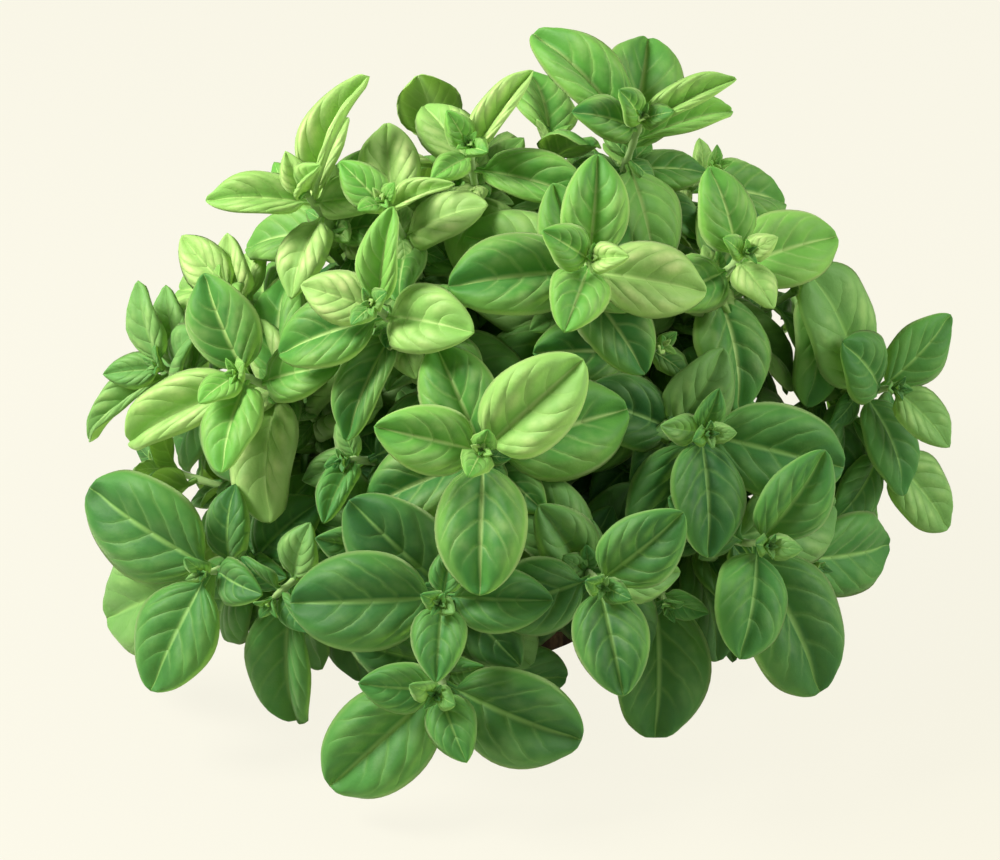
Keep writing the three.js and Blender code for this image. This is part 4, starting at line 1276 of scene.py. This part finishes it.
class OREGANO_OT_stems(bpy.types.Operator):
    """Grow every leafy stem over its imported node"""

    bl_idname = "oregano.stems"
    bl_label = "Grow leafy stems"

    def execute(self, context):
        settings = context.scene.oregano_foliage
        plants = grown_plants()
        missing = [p["shoot"][0] for p in plants if f"shoot_{p['shoot'][0]}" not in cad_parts]
        if missing:
            raise RuntimeError(f"No packed node for {missing}")
        markings = leaf_markings_group()
        tops = {kind: leaf_material(f"{kind} leaf", settings, kind, markings, TOP_LOOK)
                for kind in ("bright", "deep")}
        given = {
            "Blade thickness": settings.thickness,
            "Quilting": settings.quilt,
            "Margin wave": settings.wave,
            "Leaf underside": leaf_material("leaf underside", settings, "under", markings, UNDER_LOOK),
            "Stem skin": stem_material(settings),
        }
        tree = leafy_stem_tree()
        draw = seeded(SEEDS["looks"])
        for plant in plants:
            name, tip, *_ = plant["shoot"]
            # Painted light: shoots with high tips take the sunlit leaf colours and the rest the shaded ones.
            kind = "bright" if tip[2] > LIT_HEIGHT else "deep"
            inputs = {**given, "Leaf top": tops[kind]}
            mesh = grown_mesh(f"leafy_stem_{name}", host_mesh(plant, draw), tree, inputs)
            claim(linked(mesh.name, mesh), f"shoot_{name}")
        bpy.data.node_groups.remove(tree)
        return {"FINISHED"}


class OREGANO_OT_crown(bpy.types.Operator):
    """Dress the woody crown from which the stems rise"""

    bl_idname = "oregano.crown"
    bl_label = "Dress the crown"

    def execute(self, context):
        mesh = crown_mesh("woody_crown_bark", bare_plants())
        mesh.materials.append(bark_material(context.scene.oregano_crown))
        claim(linked(mesh.name, mesh), "woody_crown")
        return {"FINISHED"}


# Where the camera looks, in metres, from how far and how high, and its lens.
VIEW = {"target": (0, 0, 0.052), "distance": 0.9, "elevation": 30, "lens": 138, "sensor": 36}
# The floor's width, where its colour turns from the painted lit side to the painted far side, how far the
# light that it throws back is dulled, and how even and bright it looks.
FLOOR = {"width": 6.0, "turn": (0.0, 0.5), "dulled": 0.4, "even": 0.95, "glow": 0.97}
# Each light's place, size and colour.
LIGHTS = {
    "key": ((-0.43, -0.08, 0.5), 0.24, (1.0, 0.97, 0.9)),
    "fill": ((0.5, -1.0, 0.5), 0.9, (1.0, 0.98, 0.93)),
    "side": ((0.95, -0.1, 0.6), 0.6, (1.0, 0.98, 0.9)),
}
BLACK = (0, 0, 0)


def aimed(obj, place, target):
    obj.location = place
    obj.rotation_euler = (Vector(target) - Vector(place)).to_track_quat("-Z", "Y").to_euler()


def floor_material(settings):
    """Pale paper: an even colour, painted lighter towards the light and darker away from it, with only a
    breath of shadow.
    """
    material, g = new_material("pale floor")
    x, y, _ = g.parts(g.object_place())
    # Painted light: the floor is lighter towards the key light and darker away from it.
    shade = g.mixed(g.remap(x - y, *FLOOR["turn"]), settings.floor_near, settings.floor_far)
    lit = g.made("ShaderNodeBsdfDiffuse", {"Color": g.mixed(FLOOR["dulled"], shade, BLACK)})
    even = g.made("ShaderNodeEmission", {"Color": shade, "Strength": FLOOR["glow"]})
    seen = g.made("ShaderNodeLightPath", output="Is Camera Ray")
    finished(g, g.made("ShaderNodeMixShader", {0: seen * FLOOR["even"], 1: lit, 2: even}))
    return material


class OREGANO_OT_stage(bpy.types.Operator):
    """Set the pale floor, the lights and the camera"""

    bl_idname = "oregano.stage"
    bl_label = "Set the stage"

    def execute(self, context):
        scene, settings = context.scene, context.scene.oregano_stage
        scene.view_settings.view_transform = "Standard"
        reach = FLOOR["width"] / 2
        mesh = bpy.data.meshes.new("floor")
        corners = [(-reach, -reach, 0), (reach, -reach, 0), (reach, reach, 0), (-reach, reach, 0)]
        mesh.from_pydata(corners, [], [(0, 1, 2, 3)])
        mesh.materials.append(floor_material(settings))
        linked("floor", mesh)
        for name, (place, size, shade) in LIGHTS.items():
            light = bpy.data.lights.new(name, "AREA")
            light.energy = getattr(settings, f"{name}_power")
            light.size = size
            light.color = shade
            aimed(linked(name, light), place, VIEW["target"])
        world = bpy.data.worlds.new("studio")
        world.use_nodes = True
        ambient = world.node_tree.nodes["Background"].inputs
        ambient["Color"].default_value = opaque(settings.floor_near)
        ambient["Strength"].default_value = settings.ambient
        scene.world = world
        camera = linked("camera", bpy.data.cameras.new("camera"))
        camera.data.lens = VIEW["lens"]
        camera.data.sensor_width = VIEW["sensor"]
        rise = math.radians(VIEW["elevation"])
        back = Vector((0, -math.cos(rise), math.sin(rise))) * VIEW["distance"]
        aimed(camera, Vector(VIEW["target"]) + back, VIEW["target"])
        scene.camera = camera
        return {"FINISHED"}


class OREGANO_PT_panel(bpy.types.Panel):
    """Lists the steps that dress the part"""

    bl_idname = "OREGANO_PT_panel"
    bl_label = "Oregano"
    bl_space_type = "VIEW_3D"
    bl_region_type = "UI"
    bl_category = "Oregano"

    def draw(self, context):
        for key, kind in SETTINGS.items():
            settings = getattr(context.scene, key)
            for name in kind.__annotations__:
                self.layout.prop(settings, name)
        for step in STEPS:
            self.layout.operator(step.bl_idname)


STEPS = (OREGANO_OT_stems, OREGANO_OT_crown, OREGANO_OT_stage)
SETTINGS = {
    "oregano_foliage": FoliageSettings,
    "oregano_crown": CrownSettings,
    "oregano_stage": StageSettings,
}


def register():
    for kind in (*SETTINGS.values(), *STEPS, OREGANO_PT_panel):
        bpy.utils.register_class(kind)
    for name, kind in SETTINGS.items():
        setattr(bpy.types.Scene, name, PointerProperty(type=kind))


def unregister():
    for name in SETTINGS:
        delattr(bpy.types.Scene, name)
    for kind in (OREGANO_PT_panel, *STEPS, *SETTINGS.values()):
        bpy.utils.unregister_class(kind)


def main():
    register()
    bpy.ops.oregano.stems()
    bpy.ops.oregano.crown()
    bpy.ops.oregano.stage()
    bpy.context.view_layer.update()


if __name__ == "__main__":
    main()
